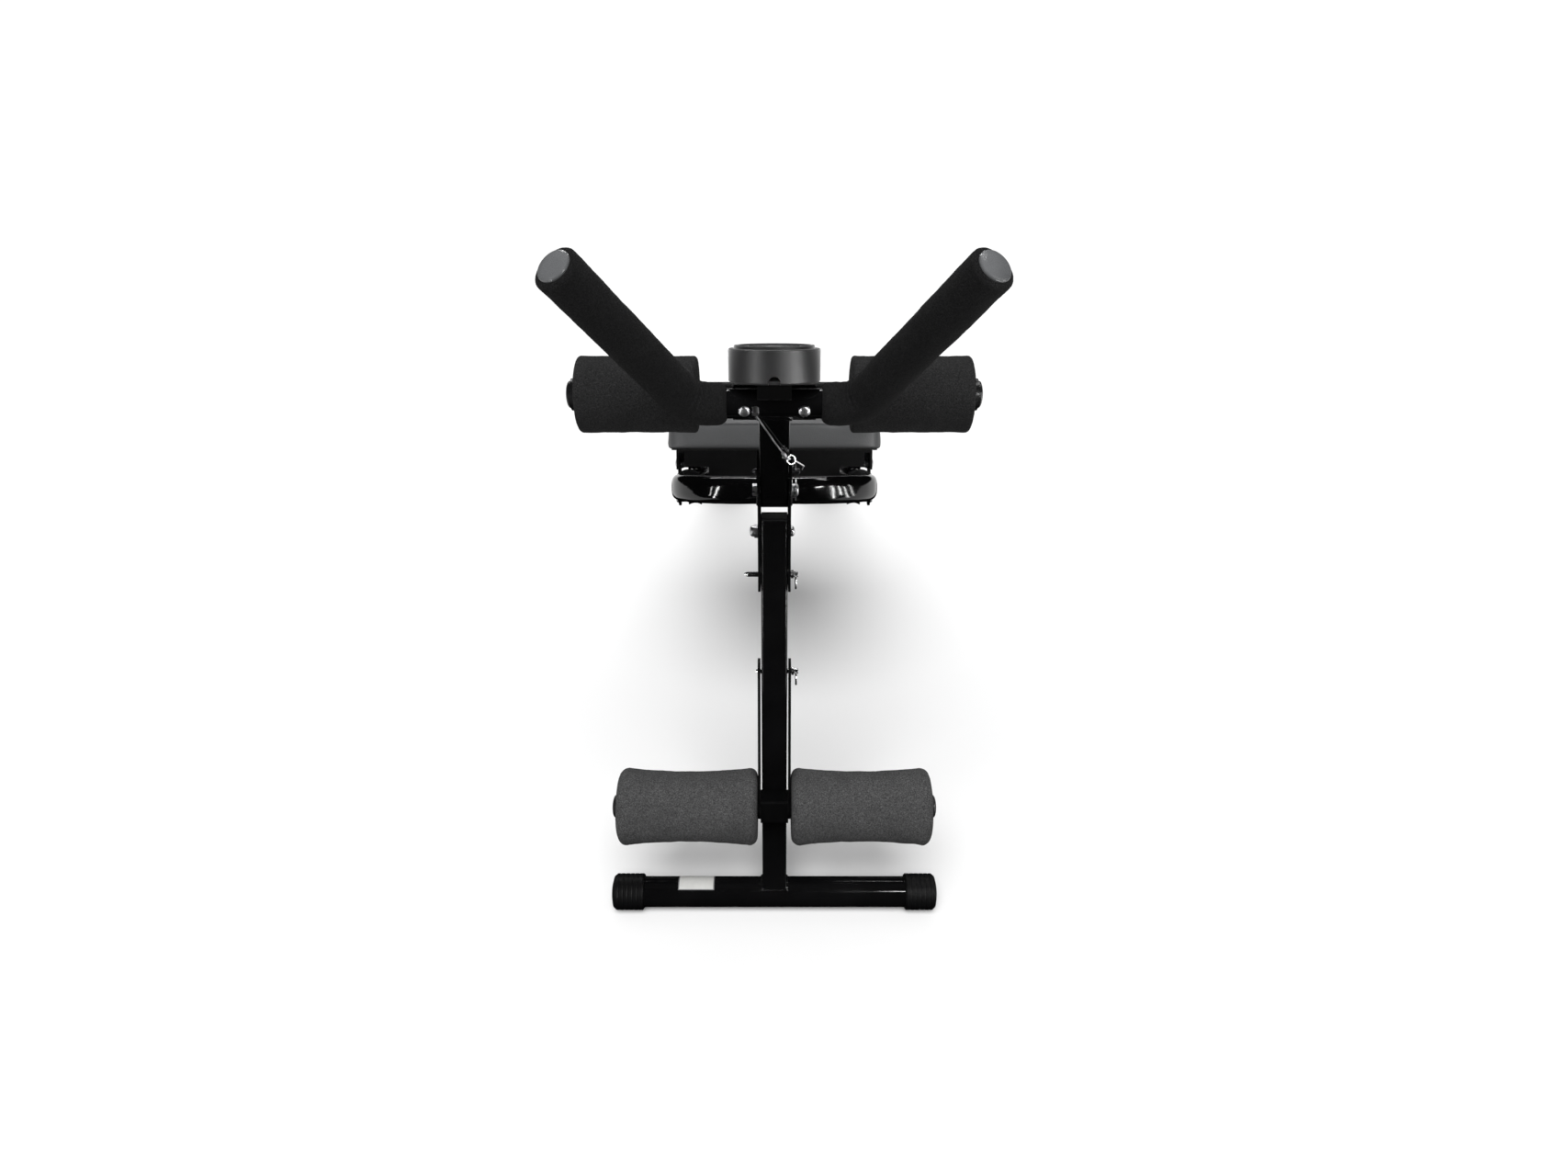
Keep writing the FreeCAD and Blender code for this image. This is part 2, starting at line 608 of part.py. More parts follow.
def monitor_cover():
    """The monitor's face: a raised disc with a lens opening and a button hole."""
    z = MONITOR_HEIGHT
    rim, top = MONITOR_R - 0.3, z + LID
    profile = [(0, z), (rim, z), (rim, z + 1.0), (rim - 0.9, z + 1.6), (LID_R + 0.5, z + 1.6)]
    profile += [(LID_R, top - 0.5), (LID_R - 0.6, top), (LID_R - 3.0, top)]
    profile += [(LID_R - 3.6, top - 1.5), (0, top - 1.5)]
    face = revolved_z(profile)
    x0, x1, y0, y1 = LENS
    face = face.cut(block(x0, x1, y0, y1, z - 1, z + 9))
    return face.cut(Part.makeCylinder(BUTTON_R + GAP, 20, Vector(*BUTTON_PLACE, z - 5)))


def monitor_lens():
    """The clear window over the display."""
    x0, x1, y0, y1 = LENS
    z = MONITOR_HEIGHT
    return block(x0, x1, y0, y1, z + 1.0, z + 2.8)


def mode_button():
    """The round push button, with a flange that keeps it behind the face."""
    z = MONITOR_HEIGHT
    stem = Part.makeCylinder(BUTTON_R, 6.0, Vector(*BUTTON_PLACE, z - 1.8))
    flange = Part.makeCylinder(BUTTON_R + 2, 1.5, Vector(*BUTTON_PLACE, z - 1.8))
    edge = [e for e in stem.Edges if e.BoundBox.ZMin > z + 4.0]
    return stem.makeFillet(0.8, edge).fuse(flange).removeSplitter()


def display_board():
    """The display and its circuit board, under the lens."""
    x0, x1, y0, y1 = LENS
    z = MONITOR_HEIGHT
    return block(x0 - 4, x1 + 4, y0 - 1, y1 + 4, z - 4.0, z - 1.0)


def monitor_saddle():
    """The saddle between the crossbar and the monitor, in the machine's frame."""
    pad = placed(block(-16, 16, -14, 5, -16, 0), MONITOR)
    return largest(pad.cut(rod_x(TUBE_R, -60, 60, CROSSBAR.y, CROSSBAR.z)))


# ---- tether ---------------------------------------------------------------------------------
def tether():
    """The lock pin's tether, pulled straight across the front of the post."""
    run = TETHER_FOOT - TETHER_TOP
    return Part.makeCylinder(TETHER_R, run.Length, TETHER_TOP, run)


def tether_anchor():
    """The rivet that holds the tether's upper end on the crossbar."""
    boss = bolt_y(3.2, -TUBE_R - 3.4, -TUBE_R + 3.5, TETHER_TOP.x, TETHER_TOP.z + 3.2)
    boss = boss.cut(rod_x(TUBE_R, -60, 60, 0, CROSSBAR_T))
    return largest(boss.cut(tether()))


def tether_eyelet():
    """The crimped eyelet on the tether's lower end, which the hairpin's coil passes through."""
    crimp = Part.makeCylinder(2.0, CRIMP_LENGTH, TETHER_FOOT, TETHER_RUN)
    ring = Part.makeTorus(EYELET_R, EYELET_WIRE, EYELET_CENTRE, EYELET_FACE)
    return crimp.fuse(ring).removeSplitter()


# ---- rails ----------------------------------------------------------------------------------
def rail_loop():
    """The two rails and the front bend, one tube; rail frame."""
    points = [Vector(-RAIL_X, RAIL_LENGTH, 0), Vector(-RAIL_X, 0, 0)]
    points += [Vector(RAIL_X, 0, 0), Vector(RAIL_X, RAIL_LENGTH, 0)]
    path = rounded_path(points, RAIL_BEND_R)
    return swept(path, RAIL_R).cut(swept(path, RAIL_R - TUBE_WALL))


def rail_stops():
    """Rubber collars on the rails, two at each end of the carriage's travel."""
    collars = []
    for start in STOP_STARTS:
        for x in (-RAIL_X, RAIL_X):
            ring = bolt_y(STOP_R, start, start + STOP_LENGTH, x, 0)
            collars.append(ring.cut(bolt_y(RAIL_R, start, start + STOP_LENGTH, x, 0)))
    return Part.makeCompound(collars)


def rear_crossbar():
    """The square bar that closes the rails' rear ends; rail frame."""
    half = POST / 2
    reach = RAIL_X + RAIL_R + 1
    outer = block(-reach, reach, RAIL_LENGTH, RAIL_LENGTH + POST, -half, half)
    along = [e for e in outer.Edges if abs(e.tangentAt(e.FirstParameter).x) > 0.9]
    outer = outer.makeFillet(3.0, along)
    inner = half - POST_WALL
    middle = RAIL_LENGTH + half
    return outer.cut(block(-reach, reach, middle - inner, middle + inner, -inner, inner))


def rear_crossbar_plugs():
    """Moulded plugs in the rear crossbar's ends; rail frame."""
    half = POST / 2 - 0.4
    inner = POST / 2 - POST_WALL
    reach = RAIL_X + RAIL_R + 1
    middle = RAIL_LENGTH + POST / 2
    lid = block(reach, reach + 2, middle - half, middle + half, -half, half)
    neck = block(reach - 8, reach, middle - inner, middle + inner, -inner, inner)
    return pair(lid.fuse(neck).removeSplitter())


def rear_post():
    """The short post from the rear crossbar down onto the rear foot."""
    top = in_plane(RAIL, RAIL_LENGTH + POST / 2, 0)
    half, wall = POST / 2, POST_WALL
    outer = block(-half, half, REAR_FOOT_Y - half, REAR_FOOT_Y + half, FOOT_Z, top[1])
    inner = block(-half + wall, half - wall, REAR_FOOT_Y - half + wall,
                  REAR_FOOT_Y + half - wall, FOOT_Z - 9, top[1] + 9)
    post = outer.cut(inner).cut(rod_x(FOOT_R, -40, 40, REAR_FOOT_Y, FOOT_Z))
    solid_bar = placed(block(-60, 60, RAIL_LENGTH, RAIL_LENGTH + POST, -half, half), RAIL)
    return largest(post.cut(solid_bar))


# ---- carriage -------------------------------------------------------------------------------
def carriage_plate():
    """The folded plate under the cushion, with a front and a rear skirt; rail frame."""
    y0, y1 = CARRIAGE_START, CARRIAGE_START + CARRIAGE_LENGTH
    half, low = CARRIAGE_HALF - PLATE, PLATE_UNDER
    plate = block(-half, half, y0, y1, low, low + PLATE)
    wide, narrow = RAIL_X + 12, RAIL_X - RAIL_R - 5
    for y in (y0, y1 - PLATE):
        plate = plate.fuse(block(-wide, wide, y, y + PLATE, STOP_R + 0.8, low))
        plate = plate.fuse(block(-narrow, narrow, y, y + PLATE, -8, low))
    return plate.removeSplitter()


def side_brackets():
    """The plates outside the rails that carry the wheels; rail frame."""
    y0, y1 = CARRIAGE_START, CARRIAGE_START + CARRIAGE_LENGTH
    x0, x1 = CARRIAGE_HALF - PLATE, CARRIAGE_HALF
    bracket = block(x0, x1, y0, y1, 16, PLATE_UNDER + PLATE)
    ear = 11.0
    for y in WHEEL_STATIONS:
        bracket = bracket.fuse(block(x0, x1, y - ear, y + ear, -WHEEL_AXLE_Z, 16))
        bracket = bracket.fuse(rod_x(ear, x0, x1, y, -WHEEL_AXLE_Z))
    bracket = bracket.removeSplitter()
    for y in WHEEL_STATIONS:
        for z in (-WHEEL_AXLE_Z, WHEEL_AXLE_Z):
            bracket = bracket.cut(rod_x(WHEEL_BOLT_R, 90, 150, y, z))
    return pair(bracket)


def wheel(y, z):
    """A grooved wheel whose groove follows the round rail."""
    half, groove = WHEEL_HALF, RAIL_R + GAP
    axle = math.copysign(1, z)
    profile = [(-half, WHEEL_BOLT_R + RUN), (-half, WHEEL_RIM_R - 0.6), (-half + 0.6, WHEEL_RIM_R)]
    steps = 8
    for i in range(steps + 1):
        x = (half - 0.8) * (2 * i / steps - 1)
        profile.append((x, WHEEL_AXLE_Z - math.sqrt(groove**2 - x**2)))
    profile += [(half - 0.6, WHEEL_RIM_R), (half, WHEEL_RIM_R - 0.6), (half, WHEEL_BOLT_R + RUN)]
    return revolved_x([(RAIL_X + x, r) for x, r in profile], y, axle * abs(z))


def wheel_pair(y, z):
    """The left and right wheels at one station."""
    return pair(wheel(y, z))


def wheel_places():
    return [(y, z) for y in WHEEL_STATIONS for z in (-WHEEL_AXLE_Z, WHEEL_AXLE_Z)]


def wheel_bolts():
    """The wheels' shoulder bolts, from outside the brackets in to their nuts."""
    bolts = []
    for y, z in wheel_places():
        shank = rod_x(WHEEL_BOLT_R, RAIL_X - WHEEL_HALF - 7, CARRIAGE_HALF + 0.5, y, z)
        collar = rod_x(6.0, RAIL_X + WHEEL_HALF + GAP, CARRIAGE_HALF - PLATE, y, z)
        bolt = shank.fuse(collar).fuse(dome(CARRIAGE_HALF, 7.0, 4.5, y, z)).removeSplitter()
        bolts += [bolt, mirrored(bolt)]
    return Part.makeCompound(bolts)


def wheel_nuts():
    """The lock nuts inside the wheels."""
    nuts = []
    start = RAIL_X - WHEEL_HALF - GAP
    for y, z in wheel_places():
        nut = hex_nut(start, 13.0, 6.0, y, z, -1).cut(rod_x(WHEEL_BOLT_R, 60, 120, y, z))
        nuts += [nut, mirrored(nut)]
    return Part.makeCompound(nuts)


def cushion_board():
    """The board that the cushion is stapled to; rail frame."""
    inset = 7.0
    low = PLATE_UNDER + PLATE
    half = CUSHION_HALF - inset
    start, end = CUSHION_START + inset, CUSHION_START + CUSHION_LENGTH - inset
    board = block(-half, half, start, end, low, CUSHION_BASE)
    corners = [e for e in board.Edges if abs(e.tangentAt(e.FirstParameter).z) > 0.9]
    return board.makeFillet(18.0, corners)


def cushion():
    """The padded seat's outer shape, with its cover wrapped down over the board's edge."""
    start, end = CUSHION_START, CUSHION_START + CUSHION_LENGTH
    low = PLATE_UNDER + PLATE + GAP
    pad = block(-CUSHION_HALF, CUSHION_HALF, start, end, low, CUSHION_TOP)
    corners = [e for e in pad.Edges if abs(e.tangentAt(e.FirstParameter).z) > 0.9]
    pad = pad.makeFillet(24.0, corners)
    rims = [e for e in pad.Edges if e.BoundBox.ZLength < 0.1]
    return pad.makeFillet(6.0, rims).cut(cushion_board())


def build():
    """Make and export every sub-part."""
    os.makedirs("parts", exist_ok=True)
    # rail frame
    export("rail_loop", rail_loop(), RAIL)
    export("clevis_plates", clevis_plates())
    export("pivot_bolts", pivot_bolts())
    export("pivot_nuts", pivot_nuts())
    export("rail_stops", rail_stops(), RAIL)
    export("rear_crossbar", rear_crossbar(), RAIL)
    export("rear_crossbar_plugs", rear_crossbar_plugs(), RAIL)
    export("rear_post", rear_post())
    export("rear_foot_tube", foot_tube(REAR_FOOT_Y))
    export("rear_foot_caps", foot_caps(REAR_FOOT_Y))
    # front leg
    export("front_post", front_post(), LEG)
    export("front_post_plug", post_plug(LEG_TOP, 1), LEG)
    export("front_foot_tube", foot_tube(0.0))
    export("front_foot_caps", foot_caps(0.0))
    place = in_plane(LEG, 0, -LEG_PIN_DROP)
    export("leg_pin", pull_pin(LEG_PIN_TIP, OUTER, *place))
    export("leg_pin_ring", pull_ring(OUTER, *place))
    # foot-roller carrier
    export("carrier_arms", carrier_arms(), LEG)
    export("carrier_block", carrier_block(), LEG)
    foot_reach = FOOT_ROLLER_X[1] + 1.0
    export("foot_roller_axle", axle_tube(foot_reach, *FOOT_AXLE), LEG)
    export("foot_roller_plugs", axle_plugs(foot_reach, 17.0, 2.0, *FOOT_AXLE), LEG)
    place = in_plane(LEG, 0, CARRIER_PIVOT_Z)
    export("carrier_pin", pull_pin(CARRIER_PIN_TIP, ARM_OUTER, *place))
    export("carrier_pin_ring", pull_ring(ARM_OUTER, *place))
    foot_roller = foam_roller(FOOT_ROLLER_R, *FOOT_ROLLER_X, 3.0, 12.0, *FOOT_AXLE)
    export("foot_roller_right", foot_roller, LEG)
    export("foot_roller_left", mirrored(foot_roller), LEG)
    # handle
    export("handle_post", handle_post(), HANDLE)
    export("handle_post_plug", post_plug(-HANDLE_FOOT, -1), HANDLE)
    export("handle_bar", handle_bar(), HANDLE)
    export("grip_left", grip(-1), HANDLE)
    export("grip_right", grip(1), HANDLE)
    export("grip_plugs", grip_plugs(), HANDLE)
    export("elbow_bracket", elbow_bracket(), BRACKET)
    export("elbow_bolts", elbow_bolts(), BRACKET)
    export("elbow_nuts", elbow_nuts(), BRACKET)
    elbow_reach = ELBOW_ROLLER_X[1] + 1.5
    export("elbow_axle", axle_tube(elbow_reach, *ELBOW_AXLE), HANDLE)
    export("elbow_axle_plugs", axle_plugs(elbow_reach, 16.0, 6.0, *ELBOW_AXLE), HANDLE)
    elbow_roller = foam_roller(ELBOW_ROLLER_R, *ELBOW_ROLLER_X, 0.0, 3.0, *ELBOW_AXLE)
    export("elbow_roller_right", elbow_roller, HANDLE)
    export("elbow_roller_left", mirrored(elbow_roller), HANDLE)
    export("handle_pin", handle_pin(), HANDLE)
    export("hairpin_clip", hairpin_clip(), HANDLE)
    export("tether", tether(), HANDLE)
    export("tether_anchor", tether_anchor(), HANDLE)
    export("tether_eyelet", tether_eyelet(), HANDLE)
    # monitor
    export("monitor_saddle", monitor_saddle())
    export("monitor_base", monitor_base(), MONITOR)
    export("monitor_cover", monitor_cover(), MONITOR)
    export("monitor_lens", monitor_lens(), MONITOR)
    export("display_board", display_board(), MONITOR)
    export("mode_button", mode_button(), MONITOR)
    # carriage
    export("carriage_plate", carriage_plate(), RAIL)
    export("side_brackets", side_brackets(), RAIL)
    export("cushion_board", cushion_board(), RAIL)
    export("cushion", cushion(), RAIL)
    export("wheel_bolts", wheel_bolts(), RAIL)
    export("wheel_nuts", wheel_nuts(), RAIL)
    for name, (y, z) in zip(
        ("front_lower_wheels", "front_upper_wheels", "rear_lower_wheels", "rear_upper_wheels"),
        wheel_places(),
    ):
        export(name, wheel_pair(y, z), RAIL)


build()
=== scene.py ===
"""Looks of a folding ab crunch machine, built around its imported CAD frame. Metres."""
import json
import math
import bpy
import bmesh
from mathutils import Matrix, Quaternion, Vector, noise
from mathutils.bvhtree import BVHTree


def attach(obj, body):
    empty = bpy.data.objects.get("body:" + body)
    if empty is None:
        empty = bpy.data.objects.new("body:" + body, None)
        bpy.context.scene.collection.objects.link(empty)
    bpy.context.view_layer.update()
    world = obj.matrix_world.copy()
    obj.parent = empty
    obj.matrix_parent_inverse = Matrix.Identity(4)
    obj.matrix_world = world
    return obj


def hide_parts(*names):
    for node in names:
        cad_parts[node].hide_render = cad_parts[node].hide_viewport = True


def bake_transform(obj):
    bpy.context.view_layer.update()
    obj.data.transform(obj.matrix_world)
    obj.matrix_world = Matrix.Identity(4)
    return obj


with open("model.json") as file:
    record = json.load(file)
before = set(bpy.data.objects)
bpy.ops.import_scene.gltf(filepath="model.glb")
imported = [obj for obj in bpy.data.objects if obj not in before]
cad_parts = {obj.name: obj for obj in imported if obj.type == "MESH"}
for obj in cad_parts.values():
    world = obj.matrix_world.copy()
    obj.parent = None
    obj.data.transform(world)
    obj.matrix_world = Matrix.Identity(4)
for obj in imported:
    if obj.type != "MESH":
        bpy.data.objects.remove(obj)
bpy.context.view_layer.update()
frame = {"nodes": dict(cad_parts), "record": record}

# ---- the CAD's own dimensions, repeated -----------------------------------------------------
ORIGIN_Y = 0.5368
TUBE_R = 0.014
RAIL_R = 0.016
CROSSBAR_T = 0.165
HANDLE_CORNER_X = 0.080
HANDLE_END = (0.169, 0.348)
HANDLE_BEND_R = 0.034
GRIP_R = 0.0200
GRIP_START_X = 0.044
ELBOW_AXLE = (0.045, 0.115)
ELBOW_ROLLER_R = 0.038
ELBOW_ROLLER_X = (0.077, 0.196)
FOOT_AXLE = (-0.031, -0.337)
FOOT_ROLLER_R = 0.0455
FOOT_ROLLER_X = (0.020, 0.186)
AXLE_R = 0.01255
FOOT_R = 0.019
FOOT_Z = 0.0214
REAR_FOOT_Y = 1.155
LEG_PIVOT = (0.101, 0.496)
RAIL_FRONT = (0.152, 0.5216)
RAIL_X = 0.110
RAIL_LENGTH = 1.078
RAIL_BEND_R = 0.070
POST = 0.030
CUSHION_START, CUSHION_LENGTH = 0.200, 0.350
CUSHION_HALF, CUSHION_BASE, CUSHION_TOP = 0.148, 0.050, 0.087
CUSHION_SKIRT = 0.0423        # height of the cover's lower edge, below the board's top
BOARD_INSET = 0.007
MONITOR_HEIGHT = 0.029
CLEVIS_OUTER = 0.0183

FOAM_GRAIN = 60               # how finely a foam surface undulates, per metre


def member(y, z, tilt):
    """The placement of a member's own frame."""
    return Matrix.Translation((0, y - ORIGIN_Y, z)) @ Matrix.Rotation(tilt, 4, "X")


LEG_TILT = math.atan2(LEG_PIVOT[0], LEG_PIVOT[1] - FOOT_Z)
FOOT_DROP = math.hypot(LEG_PIVOT[0], LEG_PIVOT[1] - FOOT_Z)
LEG = member(*LEG_PIVOT, -LEG_TILT)
HANDLE = member(0.108, 0.544, math.radians(34))
RAIL = member(*RAIL_FRONT, math.radians(-23.5))
MONITOR = member(0.022, 0.700, math.radians(-16))
WORLD = Matrix.Translation((0, -ORIGIN_Y, 0))


# ---- materials ------------------------------------------------------------------------------
class Surface:
    """A Principled material with a few node helpers; its coordinates are the piece's own."""

    def __init__(self, name, **sockets):
        """A new material; each keyword is a shader socket, with _ for its spaces."""
        self.material = bpy.data.materials.new(name)
        self.material.use_nodes = True
        self.tree = self.material.node_tree
        self.shader = self.tree.nodes["Principled BSDF"]
        for key, value in sockets.items():
            self.shader.inputs[key.replace("_", " ")].default_value = value
        self.place = self.tree.nodes.new("ShaderNodeTexCoord").outputs["Object"]
        self.last_bump = None

    def node(self, kind, links=(), **values):
        """A new node; each keyword sets an input of that name, or else a property."""
        made = self.tree.nodes.new("ShaderNode" + kind)
        for key, value in values.items():
            if key in made.inputs:
                made.inputs[key].default_value = value
            else:
                setattr(made, key, value)
        for socket, source in links:
            self.tree.links.new(source, made.inputs[socket])
        return made

    def stretched(self, scale):
        """The coordinates, multiplied by a scale along each axis."""
        return self.node("Mapping", [("Vector", self.place)], Scale=scale).outputs["Vector"]

    def noise(self, scale, detail=3.0, roughness=0.55, distortion=0.0, stretch=None):
        """Cloudy noise, about 0 to 1."""
        place = self.stretched(stretch) if stretch else self.place
        made = self.node("TexNoise", [("Vector", place)], Scale=scale, Detail=detail)
        made.inputs["Roughness"].default_value = roughness
        made.inputs["Distortion"].default_value = distortion
        return made.outputs["Fac"]

    def cells(self, scale, feature="F1", smooth=None):
        """The distance to the nearest of many scattered points."""
        made = self.node("TexVoronoi", feature=feature)
        self.tree.links.new(self.place, made.inputs["Vector"])
        made.inputs["Scale"].default_value = scale
        if smooth is not None:
            made.inputs["Smoothness"].default_value = smooth
        return made.outputs["Distance"]

    def span(self, source, low, high, to_low=0.0, to_high=1.0):
        """A value mapped from one range to another and held inside it."""
        made = self.node("MapRange")
        self.tree.links.new(source, made.inputs["Value"])
        for key, value in zip(("From Min", "From Max", "To Min", "To Max"),
                              (low, high, to_low, to_high)):
            made.inputs[key].default_value = value
        return made.outputs["Result"]

    def maths(self, operation, first, second):
        """One sum on two values, each a number or a socket."""
        made = self.node("Math", operation=operation)
        for i, value in enumerate((first, second)):
            if isinstance(value, (int, float)):
                made.inputs[i].default_value = value
            else:
                self.tree.links.new(value, made.inputs[i])
        return made.outputs[0]

    def mix(self, share, first, second):
        """A colour between two, each a colour or a socket."""
        made = self.node("Mix", data_type="RGBA")
        sockets = (made.inputs[0], made.inputs[6], made.inputs[7])
        for socket, value in zip(sockets, (share, first, second)):
            if isinstance(value, bpy.types.NodeSocket):
                self.tree.links.new(value, socket)
            elif isinstance(value, tuple):
                socket.default_value = (*value, 1)
            else:
                socket.default_value = value
        return made.outputs[2]

    def edges(self, radius, low=0.80, high=0.985):
        """About 1 on convex and concave edges, and 0 on flat ground."""
        soft = self.node("Bevel", Radius=radius, samples=4).outputs["Normal"]
        plain = self.node("NewGeometry").outputs["Normal"]
        dot = self.node("VectorMath", [(0, soft), (1, plain)], operation="DOT_PRODUCT")
        return self.span(dot.outputs["Value"], high, low)

    def set(self, socket, source):
        """Drive one of the shader's sockets."""
        self.tree.links.new(source, self.shader.inputs[socket])

    def bump(self, height, distance, strength=1.0):
        """Add relief on top of any there already."""
        made = self.node("Bump", [("Height", height)], Distance=distance, Strength=strength)
        if self.last_bump:
            self.tree.links.new(self.last_bump, made.inputs["Normal"])
        self.last_bump = made.outputs["Normal"]
        self.set("Normal", self.last_bump)


def enamel(name, base, worn, rough, gloss):
    """Stoved or powder-coated black steel: orange peel, faint smears and rubbed edges."""
    s = Surface(name, Specular_IOR_Level=gloss)
    smear = s.noise(14, 5, 0.6, 0.6)
    dust = s.span(s.noise(900, 2, 0.5), 0.68, 0.78)
    rub = s.maths("MULTIPLY", s.edges(0.0012), s.span(s.noise(160, 4, 0.6), 0.42, 0.66))
    ground = s.mix(s.span(smear, 0.3, 0.7), base, tuple(c * 1.7 for c in base))
    bright = s.maths("MAXIMUM", rub, s.maths("MULTIPLY", dust, 0.5))
    s.set("Base Color", s.mix(bright, ground, worn))
    shine = s.span(smear, 0.35, 0.75, rough, rough + 0.10)
    s.set("Roughness", s.maths("ADD", shine, s.maths("MULTIPLY", rub, 0.18)))
    s.bump(s.noise(420, 2, 0.5), 0.00004)
    return s.material


def foam(name, dark, light, pore, sheen):
    """Open-skinned foam: a crowd of cells of two sizes, with lighter cell walls."""
    s = Surface(name, Roughness=0.95, Specular_IOR_Level=0.12, Sheen_Weight=sheen)
    s.shader.inputs["Sheen Roughness"].default_value = 0.45
    cell = s.cells(pore)
    crumb = s.noise(pore * 0.55, 5, 0.75)
    speck = s.maths("ADD", s.maths("MULTIPLY", cell, 0.5), s.maths("MULTIPLY", crumb, 1.2))
    tone = s.mix(s.span(speck, 0.62, 1.16), dark, light)
    patch = s.noise(34, 4, 0.6)
    s.set("Base Color", s.mix(s.span(patch, 0.35, 0.75, 0.0, 0.30), tone, dark))
    s.bump(cell, 0.0006, 0.9)
    s.bump(s.noise(pore * 0.30, 4, 0.7), 0.0011, 0.8)
    s.bump(s.noise(60, 3, 0.5), 0.0012, 0.5)
    return s.material


def moulded(name, base, rough, grain=1500, depth=0.00006, gloss=0.45, rim=0.0):
    """Injection-moulded plastic or rubber with a spark-eroded texture; rim brightens edges."""
    s = Surface(name, Specular_IOR_Level=gloss, Sheen_Weight=rim)
    s.shader.inputs["Sheen Roughness"].default_value = 0.34
    cloud = s.noise(26, 4, 0.55)
    s.set("Base Color", s.mix(s.span(cloud, 0.3, 0.72), base, tuple(c * 1.45 for c in base)))
    spots = s.noise(grain, 2, 0.5)
    worn = s.maths("MULTIPLY", s.edges(0.0008), 0.12)
    texture = s.span(spots, 0.3, 0.7, rough - 0.04, rough + 0.06)
    s.set("Roughness", s.maths("SUBTRACT", texture, worn))
    s.bump(spots, depth)
    return s.material


def plated(name, base, rough):
    """Plated steel with fine drawing lines and faint handling marks."""
    s = Surface(name, Metallic=1.0)
    mark = s.noise(90, 5, 0.65, 0.8)
    lines = s.noise(260, 3, 0.6)
    s.set("Base Color", s.mix(s.span(mark, 0.35, 0.7), base, tuple(c * 0.78 for c in base)))
    s.set("Roughness", s.span(s.maths("ADD", mark, lines), 0.7, 1.3, rough, rough + 0.16))
    s.bump(lines, 0.00003)
    return s.material


def vinyl(name, base):
    """Grained seat vinyl: fine pebble, faint stretch creases, a soft sheen."""
    s = Surface(name, Specular_IOR_Level=0.42, Coat_Weight=0.06, Coat_Roughness=0.35)
    pebble = s.cells(620, "SMOOTH_F1", smooth=0.6)
    cloud = s.noise(11, 4, 0.5)
    s.set("Base Color", s.mix(s.span(cloud, 0.3, 0.7), base, tuple(c * 1.25 for c in base)))
    s.set("Roughness", s.span(pebble, 0.1, 0.8, 0.40, 0.58))
    s.bump(pebble, 0.00022, 0.8)
    s.bump(s.noise(48, 4, 0.6, 1.2), 0.0009, 0.35)
    return s.material


def board(name, dark, light):
    """Dark fibreboard, its fibres running along X."""
    s = Surface(name, Specular_IOR_Level=0.3)
    fibre = s.noise(90, 6, 0.7, 0.6, stretch=(1, 9, 9))
    s.set("Base Color", s.mix(s.span(fibre, 0.35, 0.7), dark, light))
    s.set("Roughness", s.span(fibre, 0.3, 0.7, 0.68, 0.85))
    s.bump(fibre, 0.0003)
    return s.material


def window(name):
    """A clear plastic window, faintly hazed."""
    s = Surface(name, Transmission_Weight=0.85, IOR=1.49)
    s.set("Roughness", s.span(s.noise(40, 4), 0.4, 0.7, 0.03, 0.10))
    s.shader.inputs["Base Color"].default_value = (0.55, 0.57, 0.6, 1)
    s.bump(s.noise(300, 2), 0.00001)
    return s.material


def cable(name):
    """Stranded steel wire under a clear coat."""
    s = Surface(name, Metallic=0.85, Coat_Weight=0.6, Coat_Roughness=0.12)
    lay = s.node("TexWave", [("Vector", s.place)], Scale=310, Distortion=1.5)
    lay.bands_direction = "DIAGONAL"
    s.set("Base Color", s.mix(lay.outputs["Fac"], (0.20, 0.20, 0.205), (0.46, 0.46, 0.465)))
    s.set("Roughness", s.span(lay.outputs["Fac"], 0, 1, 0.42, 0.26))
    s.bump(lay.outputs["Fac"], 0.0003)
    return s.material


def paper(name, base):
    """A printed label or a display's face, with slight soiling."""
    s = Surface(name, Specular_IOR_Level=0.5)
    cloud = s.noise(120, 5, 0.6)
    s.set("Base Color", s.mix(s.span(cloud, 0.3, 0.75), base, tuple(c * 0.90 for c in base)))
    s.set("Roughness", s.span(cloud, 0.3, 0.7, 0.34, 0.5))
    s.bump(s.noise(700, 3), 0.00003)
    return s.material


